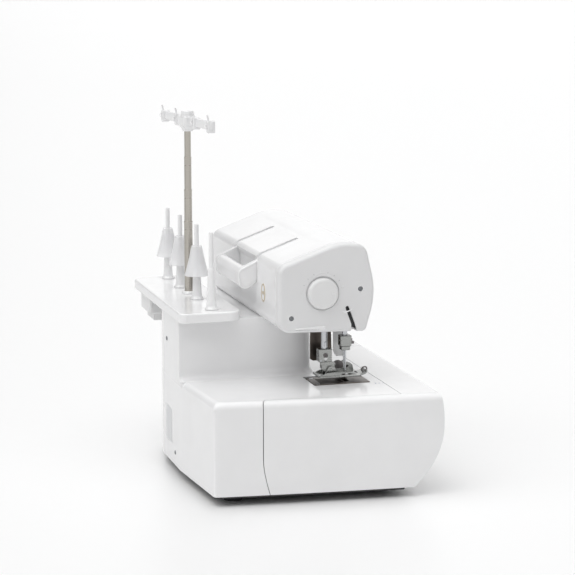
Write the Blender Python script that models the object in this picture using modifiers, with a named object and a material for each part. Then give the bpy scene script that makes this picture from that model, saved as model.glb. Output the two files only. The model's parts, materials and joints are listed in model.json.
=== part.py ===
"""Serger overlock machine: casings, covers, threading parts, and the mechanism inside.

Sizes are in millimetres. X runs to the user's right, Y to the rear and Z up. Every size below is measured
from the bed's rear left bottom corner, and place() moves it to the middle of the machine's footprint.
"""

import math

import bmesh
import bpy
from mathutils import Matrix, Vector, geometry

MM = 0.001
GAP = 0.3  # between pieces that touch
WALL = 2.5  # moulded casings and covers
SEAM = 0.8  # between a cover and its casing
RUN = 0.3  # round a shaft in its bearing
EDGE = 8.0  # rounding of the bed's upper edges

# Bed and column
BODY_RIGHT = 352.0
BODY_DEPTH = 271.0
BED_HEIGHT = 110.0
BED_UNDERCUT = 35.0  # how far the front runs back at the bottom
BED_BELLY = 75.0  # height where the front stands furthest out
BED_LEAN = 4.0  # how far the front leans back at the top
LEFT_BOW = 25.0  # how far the left end runs out towards the front
COLUMN_LEFT = 126.0
COLUMN_FRONT = -156.0
COLUMN_TOP = 183.0
COLUMN_STEP = 0.2  # the column stands this far inside the bed all round
REAR_STEP = 10.4  # the column's rear face stands behind the bed's rear left corner
REAR_RADIUS = 150.0
FRONT_RADIUS = 20.0
FLOOR_GAP = 12.0  # from the floor to the casing's lower edge
PLINTH_LOW = -5.0
PLINTH_HIGH = 1.5

# Covers on the bed
SIDE_SEAM = -57.0
SIDE_WRAP = 10.0
LOOPER_SEAM = -(BODY_DEPTH - 49.0)
LOOPER_RIGHT = BODY_RIGHT - 90.0
LOOPER_HINGE = (LOOPER_SEAM - 10.0, 5.0)  # Y, Z

# Arm and head
FACE_LEFT = 33.0
FACE_DEPTH = 14.0
ARM_RIGHT = BODY_RIGHT - 2.0
ARM_CORNERS = (  # Y, Z and radius, round the arm's section
    (-87.0, 180.0, 14.0),
    (-87.0, 257.0, 12.0),
    (-160.0, 283.5, 60.0),
    (-193.0, 280.0, 16.0),
    (-206.5, 222.0, 90.0),
    (-193.5, 177.0, 6.0),
)
HEAD_OPENING = ((58.0, -192.0), (120.0, -146.0))
FACE_DIAL = (-139.5, 225.0)  # Y, Z
FACE_DIAL_RADIUS = 18.5
FACE_DIAL_STEM = 5.3
FACE_SCREWS = ((-102.0, 197.0), (-186.0, 228.0))
SCREW_RADIUS = 2.5
SCREW_SHANK = 1.4
THREAD_SLOT = (  # Y, Z
    (-175.5, 170.0),
    (-175.0, 187.0),
    (-167.3, 207.5),
    (-171.3, 209.0),
    (-179.2, 188.0),
    (-185.0, 170.0),
)
TENSION_X = (143.0, 184.0, 225.0, 266.0)
TENSION_Z = 222.0
TENSION_RADIUS = 12.8

# Carry handle
HANDLE_PIVOT = (-131.8, 265.8)  # Y, Z
GRIP_CENTRE = (-72.6, 234.3)
GRIP_HANG = (-73.4, 225.8)  # centre of the grip's lower rounding
GRIP_RADIUS = 8.6
HANDLE_LEFT = 128.0
HANDLE_RIGHT = 240.0
HANDLE_ARM = 8.0
HANDLE_EYE = 5.4
RECESS_SIDE = 0.8  # beside each arm of the handle
RECESS_UNDER = GRIP_RADIUS + 6.4
RECESS_AHEAD = HANDLE_EYE + 1.8
FINGER_ROOM = GRIP_RADIUS + 15.5  # from the grip's centre up the arms
FINGER_RAMP = 7.5
HANDLE_PIN = 2.0

# Thread tray, pins and antenna
TRAY_LEFT = COLUMN_LEFT - 21.0
TRAY_RIGHT = BODY_RIGHT + 25.0
TRAY_REAR = 13.5
TRAY_FRONT = -63.5
TRAY_TOP = 195.0
TRAY_CORNER = 18.0
BRACKET_LOW = 150.0
ANTENNA = ((TRAY_LEFT + TRAY_RIGHT) / 2 + 1.0, -30.4)
PIN_REACH = (TRAY_RIGHT - TRAY_LEFT) / 2 - 21.0
PIN_SPACING = (-PIN_REACH, -42.5, 45.0, PIN_REACH)
PIN_TOP = 288.0
PIN_RADIUS = 2.75
SLEEVE_TOP = 243.0
SLEEVE_RADIUS = 4.0
PIN_BASE = 8.0
CONE_RADIUS = 14.8
CONE_TOP = 18.5  # over the sleeve
CONE_LOW = -18.6
CONE_WALL = 1.1
TUBE_RADIUS = 5.25
TUBE_WALL = 0.3
TUBE_RUN = 0.1
TUBE_TOPS = (286.0, 325.5, 366.0, 412.0)
TUBE_LAP = 12.0
GUIDE_BAR_LOW = 398.0
GUIDE_BAR_TOP = 423.0
GUIDE_BAR_HALF = 89.0
GUIDE_BAR_TURN = 5.6
GUIDE_CLIPS = (-85.0, -33.0, 33.0, 85.0)
GUIDE_HUB = 8.5

# Stitching parts
PRESSER = (78.0, -156.0)
PRESSER_RADIUS = 3.85
NEEDLE_BAR = (73.0, -180.0)
NEEDLE_BAR_RADIUS = 3.2
NEEDLE_SPACING = 5.5
NEEDLE_RADIUS = 0.8
NEEDLE_TIP = 119.0
CLAMP = (148.0, 166.0)
CLAMP_HALF = 7.0
PLATE_LEFT = 57.0
PLATE_RIGHT = 97.5
PLATE_SLOT_RIGHT = 106.0
PLATE_REAR = -138.0
PLATE_FRONT = -207.0
PLATE_PROUD = 0.8
PLATE_GAP = 0.4
SOLE_LOW = 116.3
GUIDE_LOW = (192.0, 202.0)
GUIDE_HIGH = (250.0, 258.0)
KNIFE_PIVOT = (-160.0, 70.0)  # Y, Z
LIFTER_PIVOT = (-156.0, 186.5)
LOOPER_PIVOTS = {"upper_looper": (45.0, 50.0), "lower_looper": (86.0, 45.0)}  # X, Z
PIVOT_RADIUS = 4.0  # shafts of the loopers and the knife
SMALL_PIVOT = 2.0  # pin of the lifter
FOOT_PIN = 1.6

# Drive
SHAFT = (-128.0, 92.0)  # Y, Z
SHAFT_RADIUS = 6.0
MOTOR = (-90.0, 46.0)
MOTOR_RADIUS = 31.0
MOTOR_SHAFT_RADIUS = 4.0
SHAFT_PULLEY_RADIUS = 26.0
MOTOR_PULLEY_RADIUS = 9.0
BELT_THICK = 2.0
BELT_GAP = 0.7  # leaves room for the flats of the belt's loop
PULLEY_LEFT = BODY_RIGHT - 34.0
PULLEY_RIGHT = PULLEY_LEFT + 10.0
WHEEL_RADIUS = 36.0
WHEEL_LEFT = BODY_RIGHT + 2.0
WHEEL_RIGHT = BODY_RIGHT + 24.5
MOTOR_LEFT = BODY_RIGHT - 130.0
MOTOR_RIGHT = BODY_RIGHT - 68.0
FRAME_FRONT = -150.0
FRAME_REAR = -100.0
POST_LEFT = COLUMN_LEFT + 7.0
POST_RIGHT = POST_LEFT + 23.0
SLAB_LEFT = 20.0
SLAB_RIGHT = BODY_RIGHT - 53.0
SLAB = (5.0, 12.0)
SPINE = (94.0, 104.0)

# Controls on the right end
SIDE_DIALS = {"stitch_length_dial": -205.0, "differential_dial": -237.0}
SIDE_DIAL_Z = 80.0
DIAL_RADIUS = 12.0
DIAL_STEM = 3.0
STEM_ROOM = 0.5
POWER_HOLES = {"inlet": ((-182.0, 20.0), (-160.0, 44.0)), "switch": ((-215.0, 22.0), (-195.0, 42.0))}
FEET = ((30.0, -30.0), (BODY_RIGHT - 67.0, -50.0), (26.0, -205.0), (BODY_RIGHT - 34.0, -200.0))

CENTRE_X = (TRAY_RIGHT - LEFT_BOW) / 2
CENTRE_Y = (TRAY_REAR - BODY_DEPTH) / 2

COLOURS = {  # base colour, roughness, metallic
    "gloss_white": ((0.87, 0.87, 0.87), 0.22, 0.0),
    "face_grey": ((0.8, 0.8, 0.8), 0.4, 0.0),
    "frosted": ((0.85, 0.86, 0.87), 0.45, 0.0),
    "steel": ((0.55, 0.52, 0.49), 0.22, 1.0),
    "dark_steel": ((0.2, 0.18, 0.17), 0.35, 1.0),
    "cast_metal": ((0.6, 0.6, 0.62), 0.5, 1.0),
    "dark_plastic": ((0.05, 0.05, 0.055), 0.5, 0.0),
    "rubber": ((0.03, 0.03, 0.03), 0.8, 0.0),
}


def fresh_collection(name):
    collection = bpy.data.collections.new(name)
    bpy.context.scene.collection.children.link(collection)
    return collection


for leftover in list(bpy.data.objects):
    bpy.data.objects.remove(leftover, do_unlink=True)
PARTS = fresh_collection("serger_overlock_machine")
CUTTERS = fresh_collection("cutters")


def make_material(name):
    colour, roughness, metallic = COLOURS[name]
    material = bpy.data.materials.new(name)
    material.use_nodes = True
    shader = material.node_tree.nodes["Principled BSDF"]
    shader.inputs["Base Color"].default_value = (*colour, 1.0)
    shader.inputs["Roughness"].default_value = roughness
    shader.inputs["Metallic"].default_value = metallic
    return material


MATERIALS = {name: make_material(name) for name in COLOURS}


# ---------------------------------------------------------------- building blocks


def place(x, y, z):
    """A point of the machine, in metres from the middle of its footprint on the floor."""
    return Vector((x - CENTRE_X, y - CENTRE_Y, z + FLOOR_GAP)) * MM


def put(name, mesh, finish, pivot=None):
    """An object whose mesh is in machine millimetres, with its origin at pivot. Without a finish it is a cutter."""
    mesh.transform(Matrix.Translation(place(0, 0, 0)) @ Matrix.Scale(MM, 4))
    obj = bpy.data.objects.new(name, mesh)
    if finish:
        obj.data.materials.append(MATERIALS[finish])
        PARTS.objects.link(obj)
    else:
        CUTTERS.objects.link(obj)
        obj.hide_render = True
        obj.display_type = "WIRE"
    if pivot:
        origin = place(*pivot)
        mesh.transform(Matrix.Translation(-origin))
        obj.location = origin
    return obj


def smooth(obj):
    obj.data.shade_smooth()
    obj.data.set_sharp_from_angle(angle=math.radians(35))
    return obj


def box(name, low, high, finish=None, pivot=None):
    bm = bmesh.new()
    bmesh.ops.create_cube(bm, size=1.0)
    size = Vector(high) - Vector(low)
    bmesh.ops.scale(bm, vec=size, verts=bm.verts)
    bmesh.ops.translate(bm, vec=(Vector(low) + Vector(high)) / 2, verts=bm.verts)
    mesh = bpy.data.meshes.new(name)
    bm.to_mesh(mesh)
    bm.free()
    return put(name, mesh, finish, pivot)


def rod(name, start, end, radius, finish=None, pivot=None, sides=20, end_radius=None):
    """A cylinder from start to end, or a cone with end_radius."""
    start, end = Vector(start), Vector(end)
    along = end - start
    bm = bmesh.new()
    bmesh.ops.create_cone(
        bm,
        cap_ends=True,
        segments=sides,
        radius1=radius,
        radius2=radius if end_radius is None else end_radius,
        depth=along.length,
        matrix=Matrix.Translation((start + end) / 2) @ along.to_track_quat("Z", "Y").to_matrix().to_4x4(),
    )
    mesh = bpy.data.meshes.new(name)
    bm.to_mesh(mesh)
    bm.free()
    return smooth(put(name, mesh, finish, pivot))


AXIS_TURN = {  # carries an outline's plane to YZ, XZ or XY, with its thickness along the axis
    "X": Matrix(((0, 0, 1, 0), (1, 0, 0, 0), (0, 1, 0, 0), (0, 0, 0, 1))),
    "Y": Matrix(((0, 1, 0, 0), (0, 0, 1, 0), (1, 0, 0, 0), (0, 0, 0, 1))),
    "Z": Matrix.Identity(4),
}


def prism(name, axis, outlines, low, high, finish=None, pivot=None):
    """Flat outlines in YZ, ZX or XY, filled and extruded along axis from low to high. The later ones are holes."""
    curve = bpy.data.curves.new(name + "_outline", "CURVE")
    curve.dimensions = "2D"
    curve.fill_mode = "BOTH"
    curve.extrude = (high - low) / 2
    for outline in outlines:
        spline = curve.splines.new("POLY")
        spline.points.add(len(outline) - 1)
        for point, (u, v) in zip(spline.points, outline):
            point.co = (u, v, 0.0, 1.0)
        spline.use_cyclic_u = True
    flat = bpy.data.objects.new(name + "_outline", curve)
    CUTTERS.objects.link(flat)
    graph = bpy.context.evaluated_depsgraph_get()
    mesh = bpy.data.meshes.new_from_object(flat.evaluated_get(graph))
    bpy.data.objects.remove(flat)
    mesh.transform(AXIS_TURN[axis] @ Matrix.Translation((0, 0, (high + low) / 2)))
    bm = bmesh.new()
    bm.from_mesh(mesh)
    bmesh.ops.remove_doubles(bm, verts=bm.verts, dist=1e-4)
    bmesh.ops.recalc_face_normals(bm, faces=bm.faces)
    bm.to_mesh(mesh)
    bm.free()
    mesh.materials.clear()
    return smooth(put(name, mesh, finish, pivot))


def stack(name, outline_at, inset, radius, low, high, finish=None, pivot=None, count=3):
    """An upright solid whose upper edge is rounded: outline_at(inset) drawn at each height and skinned."""
    angles = [math.pi / 2 * k / count for k in range(count + 1)]
    layers = [(inset, low)] + [
        (inset + radius * (1 - math.cos(a)), high - radius * (1 - math.sin(a))) for a in angles
    ]
    bm = bmesh.new()
    rings = [[bm.verts.new((x, y, z)) for x, y in outline_at(layer)] for layer, z in layers]
    for lower, upper in zip(rings, rings[1:]):
        for k in range(len(lower)):
            bm.faces.new((lower[k - 1], lower[k], upper[k], upper[k - 1]))
    bm.faces.new(rings[0])
    bm.faces.new(rings[-1])
    bmesh.ops.recalc_face_normals(bm, faces=bm.faces)
    mesh = bpy.data.meshes.new(name)
    bm.to_mesh(mesh)
    bm.free()
    return smooth(put(name, mesh, finish, pivot))


def turned(name, base, axis, profile, finish=None, steps=24):
    """A profile of (radius, height) points from top to bottom, turned about an axis through base."""
    bm = bmesh.new()
    points = [bm.verts.new((radius * MM, 0.0, height * MM)) for radius, height in profile]
    for first, second in zip(points, points[1:] + points[:1]):
        bm.edges.new((first, second))
    mesh = bpy.data.meshes.new(name)
    bm.to_mesh(mesh)
    bm.free()
    obj = bpy.data.objects.new(name, mesh)
    obj.location = place(*base)
    obj.rotation_euler = {"X": (0, math.pi / 2, 0), "-Y": (math.pi / 2, 0, 0), "Z": (0, 0, 0)}[axis]
    obj.data.materials.append(MATERIALS[finish])
    PARTS.objects.link(obj)
    screw = obj.modifiers.new("turn", "SCREW")
    screw.steps = steps
    screw.render_steps = steps
    screw.use_merge_vertices = True
    screw.merge_threshold = 1e-6
    screw.use_smooth_shade = True
    return obj


def combine(obj, other, operation):
    boolean = obj.modifiers.new(other.name, "BOOLEAN")
    boolean.operation = operation
    boolean.object = other
    return obj


def cut(obj, *others):
    for other in others:
        combine(obj, other, "DIFFERENCE")
    return obj


def join(obj, *others):
    for other in others:
        combine(obj, other, "UNION")
    return obj


def keep(obj, other):
    return combine(obj, other, "INTERSECT")


def soften(obj, width, segments=2, angle=50):
    bevel = obj.modifiers.new("soften", "BEVEL")
    bevel.width = width * MM
    bevel.segments = segments
    bevel.limit_method = "ANGLE"
    bevel.angle_limit = math.radians(angle)
    return obj


def arc(centre, radius, start, end, count):
    """count + 1 points on an arc between two angles in degrees."""
    angles = [math.radians(start + (end - start) * k / count) for k in range(count + 1)]
    return [(centre[0] + radius * math.cos(a), centre[1] + radius * math.sin(a)) for a in angles]


def circle(centre, radius, count=20):
    return arc(centre, radius, 0, 360 * (count - 1) / count, count - 1)


def rounded(corners, count=5):
    """A polygon of (u, v, radius) corners with each corner rounded."""
    outline = []
    total = len(corners)
    for k, (u, v, radius) in enumerate(corners):
        here = Vector((u, v))
        back = (Vector(corners[k - 1][:2]) - here).normalized()
        ahead = (Vector(corners[(k + 1) % total][:2]) - here).normalized()
        half = back.angle(ahead) / 2
        centre = here + (back + ahead).normalized() * radius / math.sin(half)
        start = here + back * radius / math.tan(half) - centre
        end = here + ahead * radius / math.tan(half) - centre
        sweep = start.angle_signed(end)
        steps = max(2, round(abs(sweep) / math.radians(90) * count))
        for step in range(steps + 1):
            turn = -sweep * step / steps
            spoke = Vector(
                (
                    start.x * math.cos(turn) - start.y * math.sin(turn),
                    start.x * math.sin(turn) + start.y * math.cos(turn),
                )
            )
            outline.append(tuple(centre + spoke))
    return outline


def shrunk(corners, distance):
    """The same polygon with every side moved in, and each radius smaller by as much."""
    total = len(corners)
    points = [Vector(corner[:2]) for corner in corners]
    area = sum(points[k - 1].cross(points[k]) for k in range(total))
    turn = 1.0 if area > 0 else -1.0
    result = []
    for k in range(total):
        before = (points[k] - points[k - 1]).normalized()
        after = (points[(k + 1) % total] - points[k]).normalized()
        inward_before = Vector((-before.y, before.x)) * turn
        inward_after = Vector((-after.y, after.x)) * turn
        middle = (inward_before + inward_after).normalized()
        corner = points[k] + middle * distance / middle.dot(inward_before)
        result.append((corner.x, corner.y, max(1.0, corners[k][2] - distance)))
    return result


def pill(first, second, first_radius, second_radius, count=8):
    """The outline round two circles, as of a lever or a belt."""
    first, second = Vector(first), Vector(second)
    along = second - first
    heading = math.degrees(math.atan2(along.y, along.x))
    lean = math.degrees(math.asin((first_radius - second_radius) / along.length))
    back = arc(first, first_radius, heading + 90 - lean, heading + 270 + lean, count)
    return back + arc(second, second_radius, heading - 90 + lean, heading + 90 - lean, count)


# ---------------------------------------------------------------- bed, column and covers


def left_edge(y):
    """X of the bed's bowed left end."""
    share = -y / BODY_DEPTH
    return -LEFT_BOW * (1.336 * share - 0.336 * share * share)


def front_edge(z):
    """Y of the bed's rounded front."""
    if z < BED_BELLY:
        return -BODY_DEPTH + BED_UNDERCUT * (1 - z / BED_BELLY) ** 2.2
    return -BODY_DEPTH + BED_LEAN * ((z - BED_BELLY) / (BED_HEIGHT - BED_BELLY)) ** 2


def rear_arc(inset, count=8):
    centre = (BODY_RIGHT - REAR_RADIUS, REAR_STEP - REAR_RADIUS)
    return arc(centre, REAR_RADIUS - inset, 90, 0, count)


def plan_outline(inset, front=-BODY_DEPTH - 0.5):
    """The bed from above, inset by a wall."""
    low = front + inset
    rows = [low + (-inset - low) * k / 6 for k in range(6)]
    left = [(left_edge(y) + inset, y) for y in rows]
    corner = arc((inset + 4.0, -inset - 4.0), 4.0, 180, 95, 3)
    rear = [(COLUMN_LEFT - 1.0, REAR_STEP - inset)] + rear_arc(inset)
    radius = FRONT_RADIUS - inset
    turn = arc((BODY_RIGHT - FRONT_RADIUS, low + radius), radius, 0, -90, 4)
    return left + corner + rear + turn


def column_outline(inset):
    radius = 12.0 - inset
    front_right = arc((BODY_RIGHT - 12.0, COLUMN_FRONT + 12.0), radius, 0, -90, 3)
    front_left = arc((COLUMN_LEFT + 12.0, COLUMN_FRONT + 12.0), radius, 270, 180, 3)
    return rear_arc(inset) + front_right + front_left + [(COLUMN_LEFT + inset, REAR_STEP - inset)]


def bed_solid(name, inset, low, finish=None, pivot=None):
    """The bed's outer form, or with an inset the space in its walls."""
    solid = stack(name, plan_outline, inset, EDGE - inset, -30.0, BED_HEIGHT - inset, finish, pivot)
    heights = [low + (BED_HEIGHT + 6.0 - low) * k / 12 for k in range(13)]
    section = [(front_edge(z) + inset, z) for z in heights] + [(60.0, heights[-1]), (60.0, low)]
    return keep(solid, prism(name + "_section", "X", [section], -80.0, BODY_RIGHT + 50.0))


def side_zone(name, gap):
    """Where the side cover is: left of its seam on the bed's top, and in front of its seam on the left end."""
    seam = SIDE_SEAM + gap
    low = -BODY_DEPTH - 30.0
    inner = [(left_edge(y) + SIDE_WRAP + gap, y) for y in (low, low * 0.75, low * 0.5, seam - 10.0)]
    turn = arc((inner[-1][0] - 10.0, seam - 10.0), 10.0, 20, 90, 3)
    zone = prism(name, "Z", [[(-80.0, low)] + inner + turn + [(-80.0, seam)]], -40.0, BED_HEIGHT + 30.0)
    slant = [(low, -50.0), (seam - 8.0, -50.0), (seam - 8.0, 0.0), (seam, 45.0), (seam, 150.0), (low, 150.0)]
    return keep(zone, prism(name + "_slant", "X", [slant], -90.0, 60.0))


def looper_zone(name, gap):
    """Where the looper cover is: the bed's front, up to its right edge."""
    return box(name, (-80.0, -BODY_DEPTH - 50.0, -40.0), (LOOPER_RIGHT + gap, LOOPER_SEAM + gap, 150.0))


BED_SPACE = bed_solid("bed_space", WALL, -10.0)
SIDE_ZONE = side_zone("side_zone", 0.0)
SIDE_ROOM = side_zone("side_room", SEAM)
RIGHT_WALL = (BODY_RIGHT - 12.0, BODY_RIGHT + 10.0)


def right_bore(name, y, z, radius):
    return rod(name, (RIGHT_WALL[0], y, z), (RIGHT_WALL[1], y, z), radius, sides=16)


def make_lower_casing():
    casing = bed_solid("lower_casing", 0.0, 0.0, "gloss_white")
    join(casing, prism("column_form", "Z", [column_outline(COLUMN_STEP)], 60.0, COLUMN_TOP))
    cut(casing, BED_SPACE)
    cut(casing, prism("column_space", "Z", [column_outline(COLUMN_STEP + WALL)], 50.0, COLUMN_TOP - WALL))
    cut(casing, SIDE_ROOM)
    cut(casing, looper_zone("looper_room", SEAM))
    low = (PLATE_LEFT - PLATE_GAP, PLATE_FRONT - PLATE_GAP, BED_HEIGHT - 9.0)
    high = (PLATE_SLOT_RIGHT, PLATE_REAR + PLATE_GAP, BED_HEIGHT + 9.0)
    cut(casing, box("plate_room", low, high))
    low = (POST_LEFT - 1.0, FRAME_FRONT - 1.0, COLUMN_TOP - 9.0)
    cut(casing, box("post_room", low, (POST_RIGHT + 1.0, FRAME_REAR + 1.0, COLUMN_TOP + 9.0)))
    cut(casing, right_bore("shaft_bore", *SHAFT, SHAFT_RADIUS + 2.0))
    for name, y in SIDE_DIALS.items():
        cut(casing, right_bore(name + "_bore", y, SIDE_DIAL_Z, DIAL_STEM + STEM_ROOM))
    for name, (low, high) in POWER_HOLES.items():
        cut(casing, box(name + "_hole", (RIGHT_WALL[0], low[0], low[1]), (RIGHT_WALL[1], high[0], high[1])))


def make_covers():
    side = bed_solid("side_cover", 0.0, 0.0, "gloss_white", (left_edge(SIDE_SEAM), SIDE_SEAM, 0.0))
    keep(side, SIDE_ZONE)
    cut(side, BED_SPACE)
    looper = bed_solid("looper_cover", 0.0, 0.0, "gloss_white", (0.0, *LOOPER_HINGE))
    keep(looper, looper_zone("looper_zone", 0.0))
    cut(looper, SIDE_ROOM, BED_SPACE)


def make_base():
    plinth = prism("bottom_cover", "Z", [plan_outline(9.0, -236.0)], PLINTH_LOW, PLINTH_HIGH, "dark_plastic")
    soften(plinth, 1.5, 1)
    for number, (x, y) in enumerate(FEET, 1):
        turned(
            f"foot_{number}",
            (x, y, -FLOOR_GAP),
            "Z",
            [(0, FLOOR_GAP + PLINTH_LOW - GAP), (12, FLOOR_GAP + PLINTH_LOW - GAP), (11, 0), (0, 0)],
            "rubber",
            16,
        )


# ---------------------------------------------------------------- arm, head and carry handle

ALONG = (Vector(GRIP_CENTRE) - Vector(HANDLE_PIVOT)).normalized()  # from the pivot down to the grip
OUT = Vector((-ALONG.y, ALONG.x))  # square to it, away from the arm


def recesses(name, grown):
    """Slots in the arm's rear slope for the handle's arms, upright at their front ends, and the finger room."""
    pivot, grip = Vector(HANDLE_PIVOT), Vector(GRIP_CENTRE)
    side = RECESS_SIDE + grown
    left = (HANDLE_LEFT - side, HANDLE_LEFT + HANDLE_ARM + side)
    right = (HANDLE_RIGHT - HANDLE_ARM - side, HANDLE_RIGHT + side)
    floor = OUT * (RECESS_UNDER + grown)
    end = grip + ALONG * 40.0
    ahead = RECESS_AHEAD + grown
    front = [Vector((pivot.x - ahead, pivot.y + 60.0)), Vector((pivot.x - ahead, pivot.y))]
    slot = [pivot - ALONG * ahead - floor, end - floor, end + OUT * 60.0] + front
    start = grip - ALONG * (FINGER_ROOM + grown)
    room = [start, start + ALONG * FINGER_RAMP - floor, end - floor, end + OUT * 60.0, start + OUT * 60.0]
    for (low, high), outline in ((left, slot), (right, slot), ((left[0] + 1.0, right[1] - 1.0), room)):
        yield prism(f"{name}_{low:.0f}", "X", [[tuple(point) for point in outline]], low, high)


def make_upper_casing():
    left = FACE_LEFT + FACE_DEPTH + GAP
    casing = prism("upper_casing", "X", [rounded(ARM_CORNERS)], left, ARM_RIGHT, "gloss_white")
    keep(casing, prism("arm_plan", "Z", [plan_outline(0.0)], 140.0, 330.0))
    cut(casing, *recesses("handle_recess", 0.0))
    space = prism("arm_space", "X", [rounded(shrunk(ARM_CORNERS, WALL))], left - 5.0, ARM_RIGHT - WALL)
    keep(space, prism("arm_space_plan", "Z", [plan_outline(WALL)], 140.0, 330.0))
    cut(space, *recesses("handle_recess_wall", WALL))
    cut(casing, space)
    cut(casing, prism("column_room", "Z", [column_outline(-0.5)], 60.0, COLUMN_TOP + GAP))
    (low_x, low_y), (high_x, high_y) = HEAD_OPENING
    cut(casing, box("head_opening", (low_x, low_y, 160.0), (high_x, high_y, GUIDE_LOW[0] - 1.0)))
    pins = (HANDLE_LEFT - 20.0, *HANDLE_PIVOT), (HANDLE_RIGHT + 20.0, *HANDLE_PIVOT)
    cut(casing, rod("handle_bore", *pins, HANDLE_PIN + RUN, sides=12))
    stem = DIAL_STEM + STEM_ROOM
    for number, x in enumerate(TENSION_X, 1):
        ends = (x, -215.0, TENSION_Z), (x, -190.0, TENSION_Z)
        cut(casing, rod(f"tension_bore_{number}", *ends, stem, sides=16))


def make_face_cover():
    cover = prism("face_cover", "X", [rounded(ARM_CORNERS)], FACE_LEFT, FACE_LEFT + FACE_DEPTH, "face_grey")
    through = (FACE_LEFT - 9, *FACE_DIAL), (FACE_LEFT + 9, *FACE_DIAL)
    cut(
        cover,
        prism("face_space", "X", [rounded(shrunk(ARM_CORNERS, WALL))], FACE_LEFT + WALL, FACE_LEFT + 30.0),
        rod("face_dial_bore", *through, FACE_DIAL_STEM + STEM_ROOM),
        prism("thread_slot", "X", [THREAD_SLOT], FACE_LEFT - 9, FACE_LEFT + 30),
    )
    for number, (y, z) in enumerate(FACE_SCREWS, 1):
        start, end = (FACE_LEFT - 9, y, z), (FACE_LEFT + 9, y, z)
        sink = (FACE_LEFT + 1.6, y, z)
        cut(cover, rod(f"screw_bore_{number}", start, end, SCREW_SHANK + RUN, sides=12))
        cut(cover, rod(f"screw_sink_{number}", start, sink, SCREW_RADIUS + STEM_ROOM, sides=16))
        head = (FACE_LEFT + 0.3, y, z), (FACE_LEFT + 1.3, y, z)
        screw = rod(f"face_screw_{number}", *head, SCREW_RADIUS, "steel", sides=16)
        join(screw, rod(f"screw_shank_{number}", (FACE_LEFT + 1, y, z), end, SCREW_SHANK, sides=12))
    rim, stem = FACE_DIAL_RADIUS, FACE_DIAL_STEM
    profile = [(0, 16), (stem, 16), (stem, -0.5), (rim - 0.3, -0.5), (rim, -1.5)]
    profile += [(rim - 0.5, -5), (rim - 2, -6), (0, -6)]
    turned("pressure_dial", (FACE_LEFT, *FACE_DIAL), "X", profile, "gloss_white")


def hull(*groups):
    """The outline drawn tight round several circles."""
    points = [point for group in groups for point in group]
    return [tuple(points[k]) for k in geometry.convex_hull_2d([Vector(point) for point in points])]


def make_carry_handle():
    left, right = HANDLE_LEFT, HANDLE_RIGHT
    grip = hull(circle(GRIP_CENTRE, GRIP_RADIUS), circle(GRIP_HANG, GRIP_RADIUS - 0.4))
    handle = prism("carry_handle", "X", [grip], left + 0.5, right - 0.5, "gloss_white", (left, *HANDLE_PIVOT))
    corners = circle(HANDLE_PIVOT, HANDLE_EYE), circle(GRIP_CENTRE, GRIP_RADIUS + 0.4), circle(GRIP_HANG, GRIP_RADIUS)
    outline = hull(*corners)
    for side, low in (("left", left), ("right", right - HANDLE_ARM)):
        join(handle, prism(f"handle_arm_{side}", "X", [outline], low, low + HANDLE_ARM))
    bore = (left - 9, *HANDLE_PIVOT), (right + 9, *HANDLE_PIVOT)
    cut(handle, rod("handle_eye_bore", *bore, HANDLE_PIN + RUN, sides=12))
    reach = RECESS_SIDE + WALL + 2.0
    pins = (left - reach, left + HANDLE_ARM - 0.5), (right - HANDLE_ARM + 0.5, right + reach)
    for side, (low, high) in zip(("left", "right"), pins):
        ends = (low, *HANDLE_PIVOT), (high, *HANDLE_PIVOT)
        rod(f"handle_pin_{side}", *ends, HANDLE_PIN, "dark_steel", sides=12)


def make_tension_dials():
    rim = TENSION_RADIUS
    profile = [(0, 7), (rim - 1.3, 7), (rim, 5.5), (rim, 0), (DIAL_STEM, 0), (DIAL_STEM, -14), (0, -14)]
    for number, x in enumerate(TENSION_X, 1):
        turned(f"tension_dial_{number}", (x, -207.2, TENSION_Z), "-Y", profile, "face_grey")


# ---------------------------------------------------------------- tray, spool pins and antenna


def tray_corners():
    return (
        (TRAY_LEFT, TRAY_FRONT, TRAY_CORNER),
        (TRAY_RIGHT, TRAY_FRONT, TRAY_CORNER),
        (TRAY_RIGHT, TRAY_REAR, TRAY_CORNER),
        (TRAY_LEFT, TRAY_REAR, TRAY_CORNER / 2),
    )


def make_tray():
    low = COLUMN_TOP + GAP

    def outline_at(inset):
        return rounded(shrunk(tray_corners(), inset))

    tray = stack("thread_tray", outline_at, 0.0, 1.5, low, TRAY_TOP, "gloss_white", count=2)
    space = rounded(shrunk(tray_corners(), WALL))
    cut(tray, prism("tray_space", "Z", [space], low - 10.0, TRAY_TOP - WALL))
    left, right = BODY_RIGHT - 54.0, BODY_RIGHT - 2.0
    corners = ((left, -20.0, 3.0), (right, -20.0, 3.0), (right, 8.0, 3.0), (left, 8.0, 3.0))
    bracket = prism("tray_bracket", "Z", [rounded(corners, 2)], BRACKET_LOW, COLUMN_TOP, "gloss_white")
    soften(bracket, 2.0, 1)


def make_spool_pins():
    sleeve, height = SLEEVE_TOP - TRAY_TOP, PIN_TOP - TRAY_TOP
    pin, base = PIN_RADIUS, PIN_BASE
    profile = [(0, height), (pin - 0.4, height), (pin, height - 1), (pin, sleeve), (SLEEVE_RADIUS, sleeve)]
    profile += [(base - 1.7, 2), (base, GAP), (0, GAP)]
    for number, offset in enumerate(PIN_SPACING, 1):
        x, y = ANTENNA[0] + offset, ANTENNA[1]
        turned(f"spool_pin_{number}", (x, y, TRAY_TOP), "Z", profile, "gloss_white", 16)
        if number == 1:
            continue
        skirt, bore = CONE_RADIUS, PIN_RADIUS + RUN
        cone = [(skirt / 2, CONE_TOP), (skirt * 0.68, 0.4), (skirt, CONE_LOW), (skirt - CONE_WALL, CONE_LOW)]
        cone += [(skirt * 0.68 - CONE_WALL, 0.4), (bore, 0.4), (bore, CONE_TOP)]
        turned(f"cone_holder_{number}", (x, y, SLEEVE_TOP), "Z", cone, "frosted")


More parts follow.
